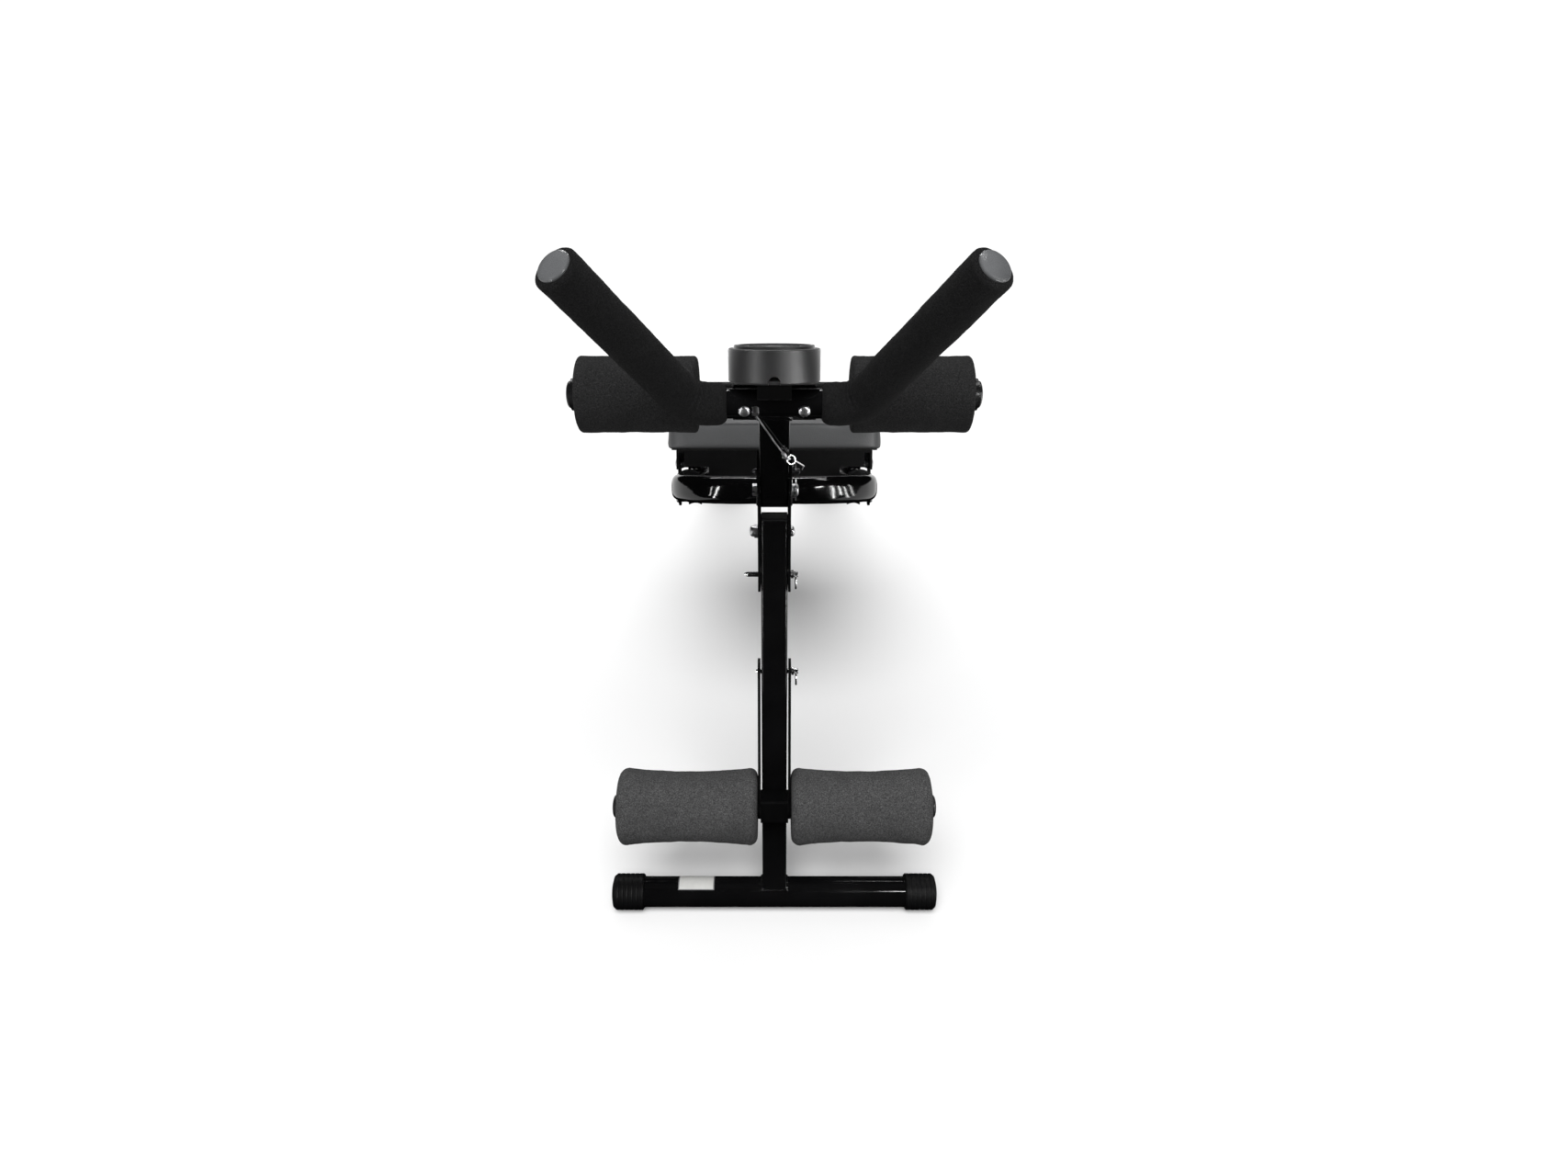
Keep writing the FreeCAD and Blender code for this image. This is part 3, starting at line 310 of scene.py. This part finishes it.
FINISHES = {
    "gloss_black_steel": (enamel, (0.0028, 0.0028, 0.0030), (0.02, 0.02, 0.02), 0.07, 0.5),
    "satin_black_steel": (enamel, (0.0020, 0.0020, 0.0021), (0.015, 0.015, 0.015), 0.42, 0.07),
    "grip_foam": (foam, (0.0040, 0.0040, 0.0042), (0.0215, 0.0215, 0.0218), 1300, 0.01),
    "elbow_foam": (foam, (0.0085, 0.0085, 0.0088), (0.047, 0.047, 0.0475), 1250, 0.01),
    "foot_foam": (foam, (0.023, 0.023, 0.0234), (0.132, 0.132, 0.133), 1050, 0.02),
    "black_rubber": (moulded, (0.0024, 0.0024, 0.0026), 0.46, 1300, 0.00009, 0.17),
    "black_plastic": (moulded, (0.0060, 0.0060, 0.0063), 0.30),
    "grey_plastic": (moulded, (0.015, 0.015, 0.0155), 0.42, 1900, 0.00003, 0.5, 0.8),
    "plug_grey": (moulded, (0.12, 0.123, 0.127), 0.28),
    "zinc_steel": (plated, (0.66, 0.66, 0.67), 0.24),
    "dark_steel": (plated, (0.06, 0.06, 0.063), 0.28),
    "chrome_steel": (plated, (0.82, 0.82, 0.83), 0.12),
    "grey_vinyl": (vinyl, (0.058, 0.059, 0.0605)),
    "seat_board": (board, (0.0035, 0.0033, 0.0031), (0.008, 0.0075, 0.007)),
    "wheel_nylon": (moulded, (0.010, 0.010, 0.0105), 0.30),
    "window": (window,),
    "circuit_board": (moulded, (0.008, 0.075, 0.032), 0.30),
    "steel_cable": (cable,),
}
MATERIALS = {name: make(name, *values) for name, (make, *values) in FINISHES.items()}
LABEL_PAPER = paper("label_paper", (0.62, 0.62, 0.60))
LABEL_BORDER = paper("label_border", (0.16, 0.16, 0.165))
LCD_GLASS = paper("lcd_glass", (0.30, 0.34, 0.29))
LCD_INK = paper("lcd_ink", (0.022, 0.026, 0.024))

for row in frame["record"]["subparts"]:
    node = frame["nodes"][row["node"]]
    node.data.materials.clear()
    # These plugs are black; the grips' plugs, which share their slot, are grey.
    slot = "black_plastic" if row["node"] == "elbow_axle_plugs" else row["material_slot"]
    node.data.materials.append(MATERIALS[slot])


# ---- mesh helpers ---------------------------------------------------------------------------
def mesh_object(name, verts, faces, slot, body, sharp, hides=(), place=None):
    """A new piece from vertices and faces; it takes a slot's material and rides on a body."""
    data = bpy.data.meshes.new(name)
    if place is not None:
        verts = [place @ Vector(v) for v in verts]
    data.from_pydata([tuple(v) for v in verts], [], faces)
    data.validate()
    work = bmesh.new()
    work.from_mesh(data)
    bmesh.ops.recalc_face_normals(work, faces=work.faces)
    work.to_mesh(data)
    work.free()
    data.shade_smooth()
    data.set_sharp_from_angle(angle=math.radians(sharp))
    data.materials.clear()
    data.materials.append(MATERIALS[slot])
    piece = bpy.data.objects.new(name, data)
    bpy.context.scene.collection.objects.link(piece)
    if body:
        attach(piece, body)
    if hides:
        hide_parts(*hides)
    return piece


def skin(rows, ring, closed=False):
    """Faces between rows of points, each row a ring; closed joins the last row to the first."""
    faces = []
    for row in range(rows if closed else rows - 1):
        a, b = row * ring, (row + 1) % rows * ring
        for k in range(ring):
            n = (k + 1) % ring
            faces.append((a + k, a + n, b + n, b + k))
    return faces


def capped(rows, ring):
    """The two end faces of a tube made of rows of rings."""
    last = (rows - 1) * ring
    return [tuple(range(ring)), tuple(range(last, last + ring))]


def finer(line, gap, straight_from=math.inf):
    """The line with points about gap apart, or only halved where y is past straight_from."""
    dense = []
    for a, b in zip(line, line[1:]):
        bent = min(a.y, b.y) < straight_from
        cuts = max(1, round((b - a).length / gap)) if bent else 2
        dense += [a.lerp(b, i / cuts) for i in range(cuts)]
    return dense + [line[-1]]


def lathe(profile, ring, wobble, seed):
    """Vertices and faces of a profile of (along, radius) turned about X, with uneven foam."""
    verts = []
    for along, radius in profile:
        for i in range(ring):
            angle = 2 * math.pi * i / ring
            unit = Vector((0, math.cos(angle), math.sin(angle)))
            point = unit * radius
            point.x = along
            place = point * FOAM_GRAIN + Vector((seed, 3.1, 7.7))
            verts.append(point + unit * noise.fractal(place, 0.9, 2.1, 4) * wobble)
    return verts, skin(len(profile), ring)


def sweep(points, radius, segments, closed=False, shape=None):
    """A tube along points; shape(step) scales its radius at each of them."""
    verts = []
    count = len(points)
    tangents = []
    for i in range(count):
        before = points[i - 1] if (i or closed) else points[i]
        after = points[(i + 1) % count] if (i < count - 1 or closed) else points[i]
        tangents.append((after - before).normalized())
    side = tangents[0].orthogonal().normalized()
    for i, (point, run) in enumerate(zip(points, tangents)):
        side = (side - run * side.dot(run)).normalized()
        up = run.cross(side)
        reach = radius * (shape(i) if shape else 1.0)
        for k in range(segments):
            angle = 2 * math.pi * k / segments
            verts.append(point + (side * math.cos(angle) + up * math.sin(angle)) * reach)
    faces = skin(count, segments, closed)
    if not closed:
        faces += capped(count, segments)
    return verts, faces


def spread(start, end, steps):
    """Evenly spaced numbers from start to end, both ends included."""
    return [start + (end - start) * i / steps for i in range(steps + 1)]


# ---- foam rollers ---------------------------------------------------------------------------
def roller(name, hides, body, slot, frame_of, axle, radius, xs, side, waist, shoulder, seed):
    """A foam sleeve: rounded shoulders, a pulled-in waist, and ends dimpled by the washer."""
    x0, x1 = xs
    ring, dimple, lip, washer = 120, 0.004, 0.0010, AXLE_R + 0.003
    profile = [(x0 + dimple, AXLE_R), (x0 + lip, AXLE_R + 0.0006), (x0 + lip * 0.6, washer)]
    for t in spread(0.2, 1.0, 5):
        profile.append((x0 + lip * 0.4 * (1 - t), washer + (radius - shoulder - washer) * t))
    for a in map(math.radians, range(15, 91, 15)):
        profile.append((x0 + shoulder * (1 - math.cos(a)), radius - shoulder * (1 - math.sin(a))))
    length = x1 - x0 - 2 * shoulder
    steps = 44
    middle = []
    for i in range(1, steps):
        t = i / steps
        swell = math.sin(math.pi * t) ** 0.8
        middle.append((x0 + shoulder + length * t, radius - waist * swell))
    mirror = [(x0 + x1 - x, r) for x, r in reversed(profile)]
    profile = profile + middle + mirror
    verts, faces = lathe(profile, ring, 0.00055, seed)
    turned = [Vector((side * v.x, v.y + axle[0], v.z + axle[1])) for v in verts]
    last = (len(profile) - 1) * ring
    for i in range(ring):
        j = (i + 1) % ring
        faces.append((i, j, last + j, last + i))
    piece = mesh_object(name, turned, faces, slot, body, 60, hides, frame_of)
    return piece


for side, word in ((-1, "left"), (1, "right")):
    roller(f"foot_foam_{word}", (f"foot_roller_{word}",), f"foot_roller_{word[0]}", "foot_foam",
           LEG, FOOT_AXLE, FOOT_ROLLER_R, FOOT_ROLLER_X, side, 0.0042, 0.010, 4.0 + side)
    roller(f"elbow_foam_{word}", (f"elbow_roller_{word}",), f"elbow_roller_{word[0]}", "elbow_foam",
           HANDLE, ELBOW_AXLE, ELBOW_ROLLER_R, ELBOW_ROLLER_X, side, 0.0004, 0.0035, 9.0 + side)


# ---- grips ----------------------------------------------------------------------------------
def bent_line(points, radius, arc_steps, run_steps):
    """Points along runs joined by tangent arcs, close enough together to carry detail."""
    line = []
    start = points[0]
    for before, corner, after in zip(points, points[1:], points[2:]):
        back, ahead = (before - corner).normalized(), (after - corner).normalized()
        half = (math.pi - back.angle(ahead)) / 2
        reach = radius * math.tan(half)
        leave = corner + back * reach
        centre = corner + (back + ahead).normalized() * (radius / math.cos(half))
        line += [start.lerp(leave, i / run_steps) for i in range(run_steps)]
        spoke, axis = leave - centre, back.cross(ahead).normalized()
        for i in range(arc_steps):
            line.append(centre + Quaternion(axis, -2 * half * i / arc_steps) @ spoke)
        start = corner + ahead * reach
    line += [start.lerp(points[-1], i / run_steps) for i in range(run_steps + 1)]
    return line


def grip(side, word):
    """The foam sleeve: fuller round the bend's outside, creased on its inside."""
    end_x, end_z = HANDLE_END
    corner = Vector((side * HANDLE_CORNER_X, 0, CROSSBAR_T))
    points = [Vector((side * GRIP_START_X, 0, CROSSBAR_T)), corner,
              Vector((side * end_x, 0, end_z))]
    line = bent_line(points, HANDLE_BEND_R, 30, 26)
    dense = finer(line, 0.0022)
    total = len(dense)
    inward = ((points[0] - corner).normalized() + (points[2] - corner).normalized()).normalized()
    verts, ring = [], 72
    bend_length, bulge, fold, fold_gap, uneven = 0.030, 0.0034, 0.0016, 0.0095, 0.00045
    run_side = Vector((0, 1, 0))
    travelled = [0.0]
    for a, b in zip(dense, dense[1:]):
        travelled.append(travelled[-1] + (b - a).length)
    for i, point in enumerate(dense):
        run = (dense[min(i + 1, total - 1)] - dense[max(i - 1, 0)]).normalized()
        up = run.cross(run_side).normalized()
        inset = 0.0
        for from_end, soft, deep in ((travelled[i], 0.011, 0.0080),
                                     (travelled[-1] - travelled[i], 0.0035, 0.0035)):
            if from_end < soft:
                inset += deep * (1 - math.sqrt(max(0.0, 1 - (1 - from_end / soft) ** 2)))
        bend = math.exp(-((point - corner).length / bend_length) ** 2)
        crease = 0.5 + 0.5 * math.cos(2 * math.pi * travelled[i] / fold_gap)
        for k in range(ring):
            angle = 2 * math.pi * k / ring
            unit = run_side * math.cos(angle) + up * math.sin(angle)
            inner = max(0.0, unit.dot(inward)) ** 2
            outer = max(0.0, -unit.dot(inward)) ** 2
            reach = GRIP_R - inset + bend * (outer * bulge - inner * crease * fold)
            place = point * FOAM_GRAIN + unit * 1.3 + Vector((side, 0, 5))
            rough = noise.fractal(place, 0.9, 2.1, 4)
            verts.append(point + unit * (reach + rough * uneven))
    faces = skin(total, ring) + capped(total, ring)
    piece = mesh_object(f"grip_foam_{word}", verts, faces, "grip_foam", "handle", 60,
                        (f"grip_{word}",), HANDLE)


for side, word in ((-1, "left"), (1, "right")):
    grip(side, word)


# ---- rail loop ------------------------------------------------------------------------------
def rail_loop():
    """The rails and their front bend, squared and faintly rippled where the tube was bent."""
    corners = [Vector((x, 0, 0)) for x in (-RAIL_X, RAIL_X)]
    points = [Vector((-RAIL_X, RAIL_LENGTH, 0)), *corners, Vector((RAIL_X, RAIL_LENGTH, 0))]
    dense = finer(bent_line(points, RAIL_BEND_R, 44, 60), 0.0025, straight_from=0.12)
    ring, verts = 64, []
    bend_reach, fade = 0.068, 0.013
    squareness, flattening, ripple_scale, ripple = 0.34, 0.07, 75, 0.00022
    up = Vector((0, 0, 1))
    for i, point in enumerate(dense):
        run = (dense[min(i + 1, len(dense) - 1)] - dense[max(i - 1, 0)]).normalized()
        out = run.cross(up)
        near = min((point - c).length for c in corners)
        bent = math.exp(-(max(0.0, near - bend_reach) / fade) ** 2)
        power, flat = 1.0 - squareness * bent, 1.0 - flattening * bent
        for k in range(ring):
            angle = 2 * math.pi * k / ring
            c, z = math.cos(angle), math.sin(angle)
            reach = Vector((math.copysign(abs(c) ** power, c) * flat,
                            math.copysign(abs(z) ** power, z))) * RAIL_R
            spot = Vector((point.x * ripple_scale, point.y * ripple_scale, 2.2 * z))
            wave = noise.noise(spot) * ripple * bent
            place = point + out * reach.x + up * reach.y
            verts.append(place + (out * c + up * z) * wave)
    faces = skin(len(dense), ring) + capped(len(dense), ring)
    mesh_object("rail_tube", verts, faces, "gloss_black_steel", "rail_frame", 60, ("rail_loop",),
                RAIL)


rail_loop()


# ---- cushion --------------------------------------------------------------------------------
def rounded_outline(half, start, end, corner, steps):
    """A rounded rectangle's (x, y) points."""
    outline = []
    for cx, cy, turn in ((half - corner, end - corner, 0), (-half + corner, end - corner, 1),
                         (-half + corner, start + corner, 2), (half - corner, start + corner, 3)):
        for i in range(steps + 1):
            a = math.pi / 2 * (turn + i / steps)
            outline.append((cx + corner * math.cos(a), cy + corner * math.sin(a)))
    return outline


def prism(name, outline, low, high):
    """A closed upright prism, as a linked object."""
    work = bmesh.new()
    floor = [work.verts.new((x, y, low)) for x, y in outline]
    roof = [work.verts.new((x, y, high)) for x, y in outline]
    work.faces.new(floor)
    work.faces.new(roof)
    for i in range(len(outline)):
        j = (i + 1) % len(outline)
        work.faces.new((floor[i], floor[j], roof[j], roof[i]))
    bmesh.ops.recalc_face_normals(work, faces=work.faces)
    data = bpy.data.meshes.new(name)
    work.to_mesh(data)
    work.free()
    made = bpy.data.objects.new(name, data)
    bpy.context.scene.collection.objects.link(made)
    return made


def applied(piece):
    """Replace a piece's mesh by what its modifiers make of it."""
    graph = bpy.context.evaluated_depsgraph_get()
    made = bpy.data.meshes.new_from_object(piece.evaluated_get(graph))
    piece.modifiers.clear()
    piece.data = made


def cushion():
    """The padded seat: a vinyl bag blown up over its board and wrapped down past its edge."""
    shy, crown, steps, farthest, inward = 0.002, 0.011, 20, 0.012, 0.2
    start, end = CUSHION_START + shy, CUSHION_START + CUSHION_LENGTH - shy
    middle = (start + end) / 2
    half, low, high = CUSHION_HALF - shy, CUSHION_SKIRT + 0.0006, CUSHION_TOP - 0.006
    pad = prism("cushion_cover", rounded_outline(half, start, end, 0.022, 6), low, high)
    remesh = pad.modifiers.new("voxels", "REMESH")
    remesh.mode = "VOXEL"
    remesh.voxel_size = 0.005
    applied(pad)
    rest = [v.co.copy() for v in pad.data.vertices]
    held = pad.vertex_groups.new(name="held")
    held.add([v.index for v in pad.data.vertices if v.co.z < CUSHION_BASE], 1.0, "REPLACE")
    cloth = pad.modifiers.new("cloth", "CLOTH")
    settings = cloth.settings
    settings.quality = 6
    settings.mass = 0.3
    settings.vertex_group_mass = "held"
    settings.use_pressure = True
    settings.uniform_pressure_force = 4.0
    settings.tension_stiffness = settings.compression_stiffness = 18
    settings.shear_stiffness = 6
    settings.bending_stiffness = 0.6
    settings.effector_weights.gravity = 0
    scene = bpy.context.scene
    cloth.point_cache.frame_start, cloth.point_cache.frame_end = 1, steps
    for step in range(1, steps + 1):
        scene.frame_set(step)
    applied(pad)
    for v, was in zip(pad.data.vertices, rest):
        move = v.co - was
        if move.x * was.x < 0:
            move.x *= inward
        if move.y * (was.y - middle) < 0:
            move.y *= inward
        v.co = was + move * min(1, farthest / max(move.length, 1e-9))
    scene.frame_set(1)
    smooth = pad.modifiers.new("soften", "SMOOTH")
    smooth.factor, smooth.iterations = 0.5, 6
    divide = pad.modifiers.new("finer", "SUBSURF")
    divide.levels = divide.render_levels = 1
    applied(pad)
    for v in pad.data.vertices:
        v.co.z = max(v.co.z, low)
    near, far = CUSHION_START + BOARD_INSET, CUSHION_START + CUSHION_LENGTH - BOARD_INSET
    pocket = prism("pocket", rounded_outline(CUSHION_HALF - BOARD_INSET, near, far, 0.018, 6),
                   CUSHION_SKIRT - 0.01, CUSHION_BASE + 0.0003)
    carve = pad.modifiers.new("pocket", "BOOLEAN")
    carve.operation, carve.object, carve.solver = "DIFFERENCE", pocket, "EXACT"
    applied(pad)
    bpy.data.objects.remove(pocket)
    return pad


def on_surface(pad, inset, height):
    """Points round the pad at a height above the rail, pushed out to its surface."""
    tree = BVHTree.FromObject(pad, bpy.context.evaluated_depsgraph_get())
    middle = Vector((0, CUSHION_START + CUSHION_LENGTH / 2, height))
    loop, steps = [], 420
    for i in range(steps):
        angle = 2 * math.pi * i / steps
        aim = Vector((math.cos(angle), math.sin(angle), 0))
        hit = tree.ray_cast(middle + aim, -aim)
        if hit[0] is not None:
            loop.append(hit[0] + hit[1] * inset)
    return loop


pad = cushion()
welt_line = on_surface(pad, 0.0002, CUSHION_TOP - 0.0100)
pad.data.materials.clear()
pad.data.materials.append(MATERIALS["grey_vinyl"])
pad.data.transform(RAIL)
pad.data.shade_smooth()
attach(pad, "carriage")
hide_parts("cushion")
verts, faces = sweep(welt_line, 0.0016, 8, closed=True)
mesh_object("cushion_welt", verts, faces, "grey_vinyl", "carriage", 60, (), RAIL)


# ---- tether ---------------------------------------------------------------------------------
def tether():
    """The lock pin's tether: a short wire from a rivet on the crossbar to the pin's clip."""
    top = Vector((-0.0175, -0.0163, 0.170))
    foot = Vector((0.0085, -0.01832, 0.1062))
    points = [top, top.lerp(foot, 0.3) + Vector((0.0004, -0.0006, 0.0)),
              top.lerp(foot, 0.7) + Vector((-0.0004, -0.0006, 0.0)), foot]
    line = bpy.data.curves.new("tether_line", "CURVE")
    line.dimensions = "3D"
    spline = line.splines.new("NURBS")
    spline.points.add(len(points) - 1)
    for point, place in zip(spline.points, points):
        point.co = (*(HANDLE @ place), 1)
    spline.order_u = 3
    spline.use_endpoint_u = True
    line.resolution_u = 12
    guide = bpy.data.objects.new("tether_line", line)
    bpy.context.scene.collection.objects.link(guide)
    path = [v.co.copy() for v in bpy.data.meshes.new_from_object(guide).vertices]
    bpy.data.objects.remove(guide)
    verts, faces = sweep(path, 0.00095, 12)
    piece = mesh_object("tether_wire", verts, faces, "steel_cable", None, 50, ("tether",))
    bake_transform(piece)


tether()


# ---- welds ----------------------------------------------------------------------------------
def weld(name, body, points, place, radius=0.0021, closed=True):
    """A painted-over weld bead, with its rippled run."""
    gap = 0.0009
    dense = finer([*points, points[0]], gap)[:-1] if closed else finer(points, gap)

    def ripple(step):
        """The bead's swelling and wandering along its run."""
        wander = noise.noise(dense[step] * 190)
        return 1.0 + 0.13 * math.cos(2 * math.pi * step / 3.4) + 0.22 * wander

    verts, faces = sweep(dense, radius, 8, closed, ripple)
    mesh_object(name, verts, faces, "gloss_black_steel", body, 70, (), place)


def around_post(tube_r, z_axis, direction):
    """Where a square post's sides meet a round tube along X; direction is the post's side."""
    half, proud, steps = POST / 2, 0.0003, 10
    widest = min(half - 0.001, tube_r - 0.0004)
    points = []
    for x0, y0, x1, y1 in ((-half, -half, half, -half), (half, -half, half, half),
                           (half, half, -half, half), (-half, half, -half, -half)):
        for i in range(steps):
            x, y = x0 + (x1 - x0) * i / steps, y0 + (y1 - y0) * i / steps
            x, y = max(-half - proud, min(half + proud, x)), max(-widest, min(widest, y))
            points.append(Vector((x, y, z_axis + direction * math.sqrt(tube_r ** 2 - y * y))))
    return points


weld("weld_front_foot", "front_leg", around_post(FOOT_R, -FOOT_DROP, 1), LEG, 0.0024)
weld("weld_crossbar", "handle", around_post(TUBE_R, CROSSBAR_T, -1), HANDLE)
rear_foot = [p + Vector((0, REAR_FOOT_Y, 0)) for p in around_post(FOOT_R, FOOT_Z, 1)]
weld("weld_rear_foot", "rail_frame", rear_foot, WORLD, 0.0024)
for side, word in ((-1, "left"), (1, "right")):
    ring = [Vector((side * RAIL_X + (RAIL_R + 0.0002) * math.cos(a), RAIL_LENGTH - 0.0004,
                    max(-POST / 2, min(POST / 2, (RAIL_R + 0.0002) * math.sin(a)))))
            for a in (2 * math.pi * i / 48 for i in range(48))]
    weld(f"weld_rail_end_{word}", "rail_frame", ring, RAIL)
    run = []
    for i in range(33):
        a = math.radians(96 + 168 * i / 32)
        run.append(Vector((side * (CLEVIS_OUTER + 0.0004),
                           RAIL_FRONT[0] + (RAIL_R + 0.0003) * math.cos(a),
                           RAIL_FRONT[1] + (RAIL_R + 0.0003) * math.sin(a))))
    weld(f"weld_clevis_{word}", "rail_frame", run, WORLD, 0.0019, closed=False)


# ---- labels and display ---------------------------------------------------------------------
def patch(name, x0, x1, low, high, lift, material):
    """A label bent round the front foot tube, between two angles above its front."""
    verts, faces, steps = [], [], 16
    for i in range(steps + 1):
        a = math.radians(low + (high - low) * i / steps)
        for x in (x0, x1):
            for radius in (FOOT_R + lift, FOOT_R + 0.00002):
                verts.append((x, -radius * math.cos(a), FOOT_Z + radius * math.sin(a)))
    for i in range(steps):
        a, b = 4 * i, 4 * (i + 1)
        for p, q in ((0, 2), (2, 3), (3, 1), (1, 0)):
            faces.append((a + p, a + q, b + q, b + p))
    faces += [(0, 1, 3, 2), (4 * steps, 4 * steps + 2, 4 * steps + 3, 4 * steps + 1)]
    made = mesh_object(name, verts, faces, "plug_grey", "front_leg", 40, (), WORLD)
    made.data.materials[0] = material


patch("label_border", -0.1225, -0.0765, 55, 131, 0.00012, LABEL_BORDER)
patch("label_face", -0.1212, -0.0778, 58, 128, 0.00020, LABEL_PAPER)


BOX_FACES = [(0, 1, 3, 2), (4, 6, 7, 5), (0, 4, 5, 1), (2, 3, 7, 6), (0, 2, 6, 4), (1, 5, 7, 3)]


def box_corners(x0, x1, y0, y1, z0, z1):
    """A block's eight corners, in the order that BOX_FACES takes them."""
    return [(x, y, z) for x in (x0, x1) for y in (y0, y1) for z in (z0, z1)]


def lcd():
    """The display: a grey-green panel with plain seven-segment digits."""
    base = MONITOR_HEIGHT - 0.0010
    corners = box_corners(-0.0205, 0.0205, -0.0090, 0.0190, base, base + 0.0006)
    glass = mesh_object("lcd_panel", corners, BOX_FACES, "circuit_board", "handle", 30, (), MONITOR)
    glass.data.materials[0] = LCD_GLASS
    top, wide, tall, bar = base + 0.0007, 0.0066, 0.0135, 0.0013
    segments = {"a": (0, 1, 1, 1), "g": (0, 0.5, 1, 0.5), "d": (0, 0, 1, 0),
                "f": (0, 0.5, 0, 1), "b": (1, 0.5, 1, 1), "e": (0, 0, 0, 0.5), "c": (1, 0, 1, 0.5)}
    digits = {"0": "abcdef", "1": "bc", "2": "abged"}
    verts, faces = [], []
    for place, digit in enumerate("0120"):
        left = -0.0175 + place * 0.0092
        for name in digits[digit]:
            ax, ay, bx, by = segments[name]
            x0, x1 = left + ax * wide - bar / 2, left + bx * wide + bar / 2
            y0, y1 = -0.0020 + ay * tall - bar / 2, -0.0020 + by * tall + bar / 2
            first = len(verts)
            verts += box_corners(x0, x1, y0, y1, top, top + 0.0001)
            faces += [tuple(first + k for k in face) for face in BOX_FACES]
    ink = mesh_object("lcd_digits", verts, faces, "circuit_board", "handle", 30, (), MONITOR)
    ink.data.materials[0] = LCD_INK


lcd()


# ---- camera, light and floor ----------------------------------------------------------------
camera = bpy.data.cameras.new("camera")
camera.sensor_width = 36.0
camera.lens = 22.144112
camera.shift_x = 0.00615
camera.shift_y = -0.00586
camera.clip_end = 200
viewer = bpy.data.objects.new("camera", camera)
viewer.location = (0, -0.8406 - ORIGIN_Y, 1.0217)
viewer.rotation_euler = (math.radians(90 - 32), 0, 0)
bpy.context.scene.collection.objects.link(viewer)
bpy.context.scene.camera = viewer


def panel(name, place, aim, size, radiance):
    """A bright panel that only the glossy pieces see, for their highlights."""
    light = bpy.data.lights.new(name, "AREA")
    light.shape = "RECTANGLE"
    light.size, light.size_y = size
    light.energy = radiance * math.pi * size[0] * size[1]
    lamp = bpy.data.objects.new(name, light)
    lamp.location = place
    lamp.rotation_euler = (Vector(aim) - Vector(place)).to_track_quat("-Z", "Y").to_euler()
    lamp.visible_diffuse = False
    bpy.context.scene.collection.objects.link(lamp)
    return lamp


def floor_card(name, x0, x1, y0, y1, radiance):
    """The bright part of the studio's floor, as the glossy pieces see it."""
    lamp = panel(name, ((x0 + x1) / 2, (y0 + y1) / 2, 0.001), ((x0 + x1) / 2, (y0 + y1) / 2, 1.0),
                 (x1 - x0, y1 - y0), radiance)
    lamp.rotation_euler = (math.pi, 0, 0)
    lamp.visible_camera = False


target = (0, -0.40, 0.50)
panel("left_strip", (-0.90, -1.42, 0.60), target, (0.05, 1.1), 34)
panel("left_strip_b", (-1.06, -1.24, 0.75), target, (0.03, 0.5), 22)
panel("right_strip", (0.92, -1.41, 0.60), target, (0.06, 1.1), 40)
panel("right_strip_b", (1.12, -1.18, 0.75), target, (0.07, 0.6), 34)
panel("right_strip_c", (1.25, -0.98, 0.45), target, (0.05, 0.9), 30)
panel("right_strip_d", (1.36, -0.72, 0.60), target, (0.04, 0.7), 22)
panel("top_strip", (0.60, 0.1, 2.6), target, (0.7, 0.10), 34)
panel("back_strip", (-0.2, 1.6, 2.2), target, (1.6, 0.14), 26)
panel("camera_side", (0.43, -1.40, 1.10), (0.15, -0.537, 0.02), (0.28, 0.04), 64)
floor_card("floor_left", -9.0, -0.55, -1.2, 9.0, 1.0)
floor_card("floor_right", 0.55, 9.0, -1.2, 9.0, 1.0)
floor_card("floor_back", -0.55, 0.55, 0.75, 9.0, 1.0)

sky = bpy.data.lights.new("soft_sun", "SUN")
sky.angle = math.radians(40)
sky.energy = 3.0
sun = bpy.data.objects.new("soft_sun", sky)
sun.rotation_euler = (math.radians(29), math.radians(-3), 0)
sun.visible_glossy = False
bpy.context.scene.collection.objects.link(sun)

world = bpy.data.worlds.new("studio")
bpy.context.scene.world = world
world.cycles_visibility.glossy = False
world.use_nodes = True
world.node_tree.nodes["Background"].inputs["Color"].default_value = (1, 1, 1, 1)
ray = world.node_tree.nodes.new("ShaderNodeLightPath")
brighter = world.node_tree.nodes.new("ShaderNodeMapRange")
as_light, as_seen = 0.36, 0.95
brighter.inputs["To Min"].default_value = as_light
brighter.inputs["To Max"].default_value = as_seen
world.node_tree.links.new(ray.outputs["Is Camera Ray"], brighter.inputs["Value"])
world.node_tree.links.new(brighter.outputs["Result"],
                          world.node_tree.nodes["Background"].inputs["Strength"])
bpy.context.scene.view_settings.view_transform = "Standard"

floor_data = bpy.data.meshes.new("floor")
reach = 80
floor_data.from_pydata([(-reach, -reach, 0), (reach, -reach, 0), (reach, reach, 0),
                        (-reach, reach, 0)], [], [(0, 1, 2, 3)])
ground = Surface("floor", Roughness=0.9, Specular_IOR_Level=0.0)
ground.set("Base Color", ground.mix(ground.noise(3, 3), (0.90, 0.90, 0.90), (0.92, 0.92, 0.92)))
floor_data.materials.append(ground.material)
floor = bpy.data.objects.new("floor", floor_data)
floor.location.z = -0.0002
floor.visible_glossy = False
floor.visible_diffuse = False
bpy.context.scene.collection.objects.link(floor)
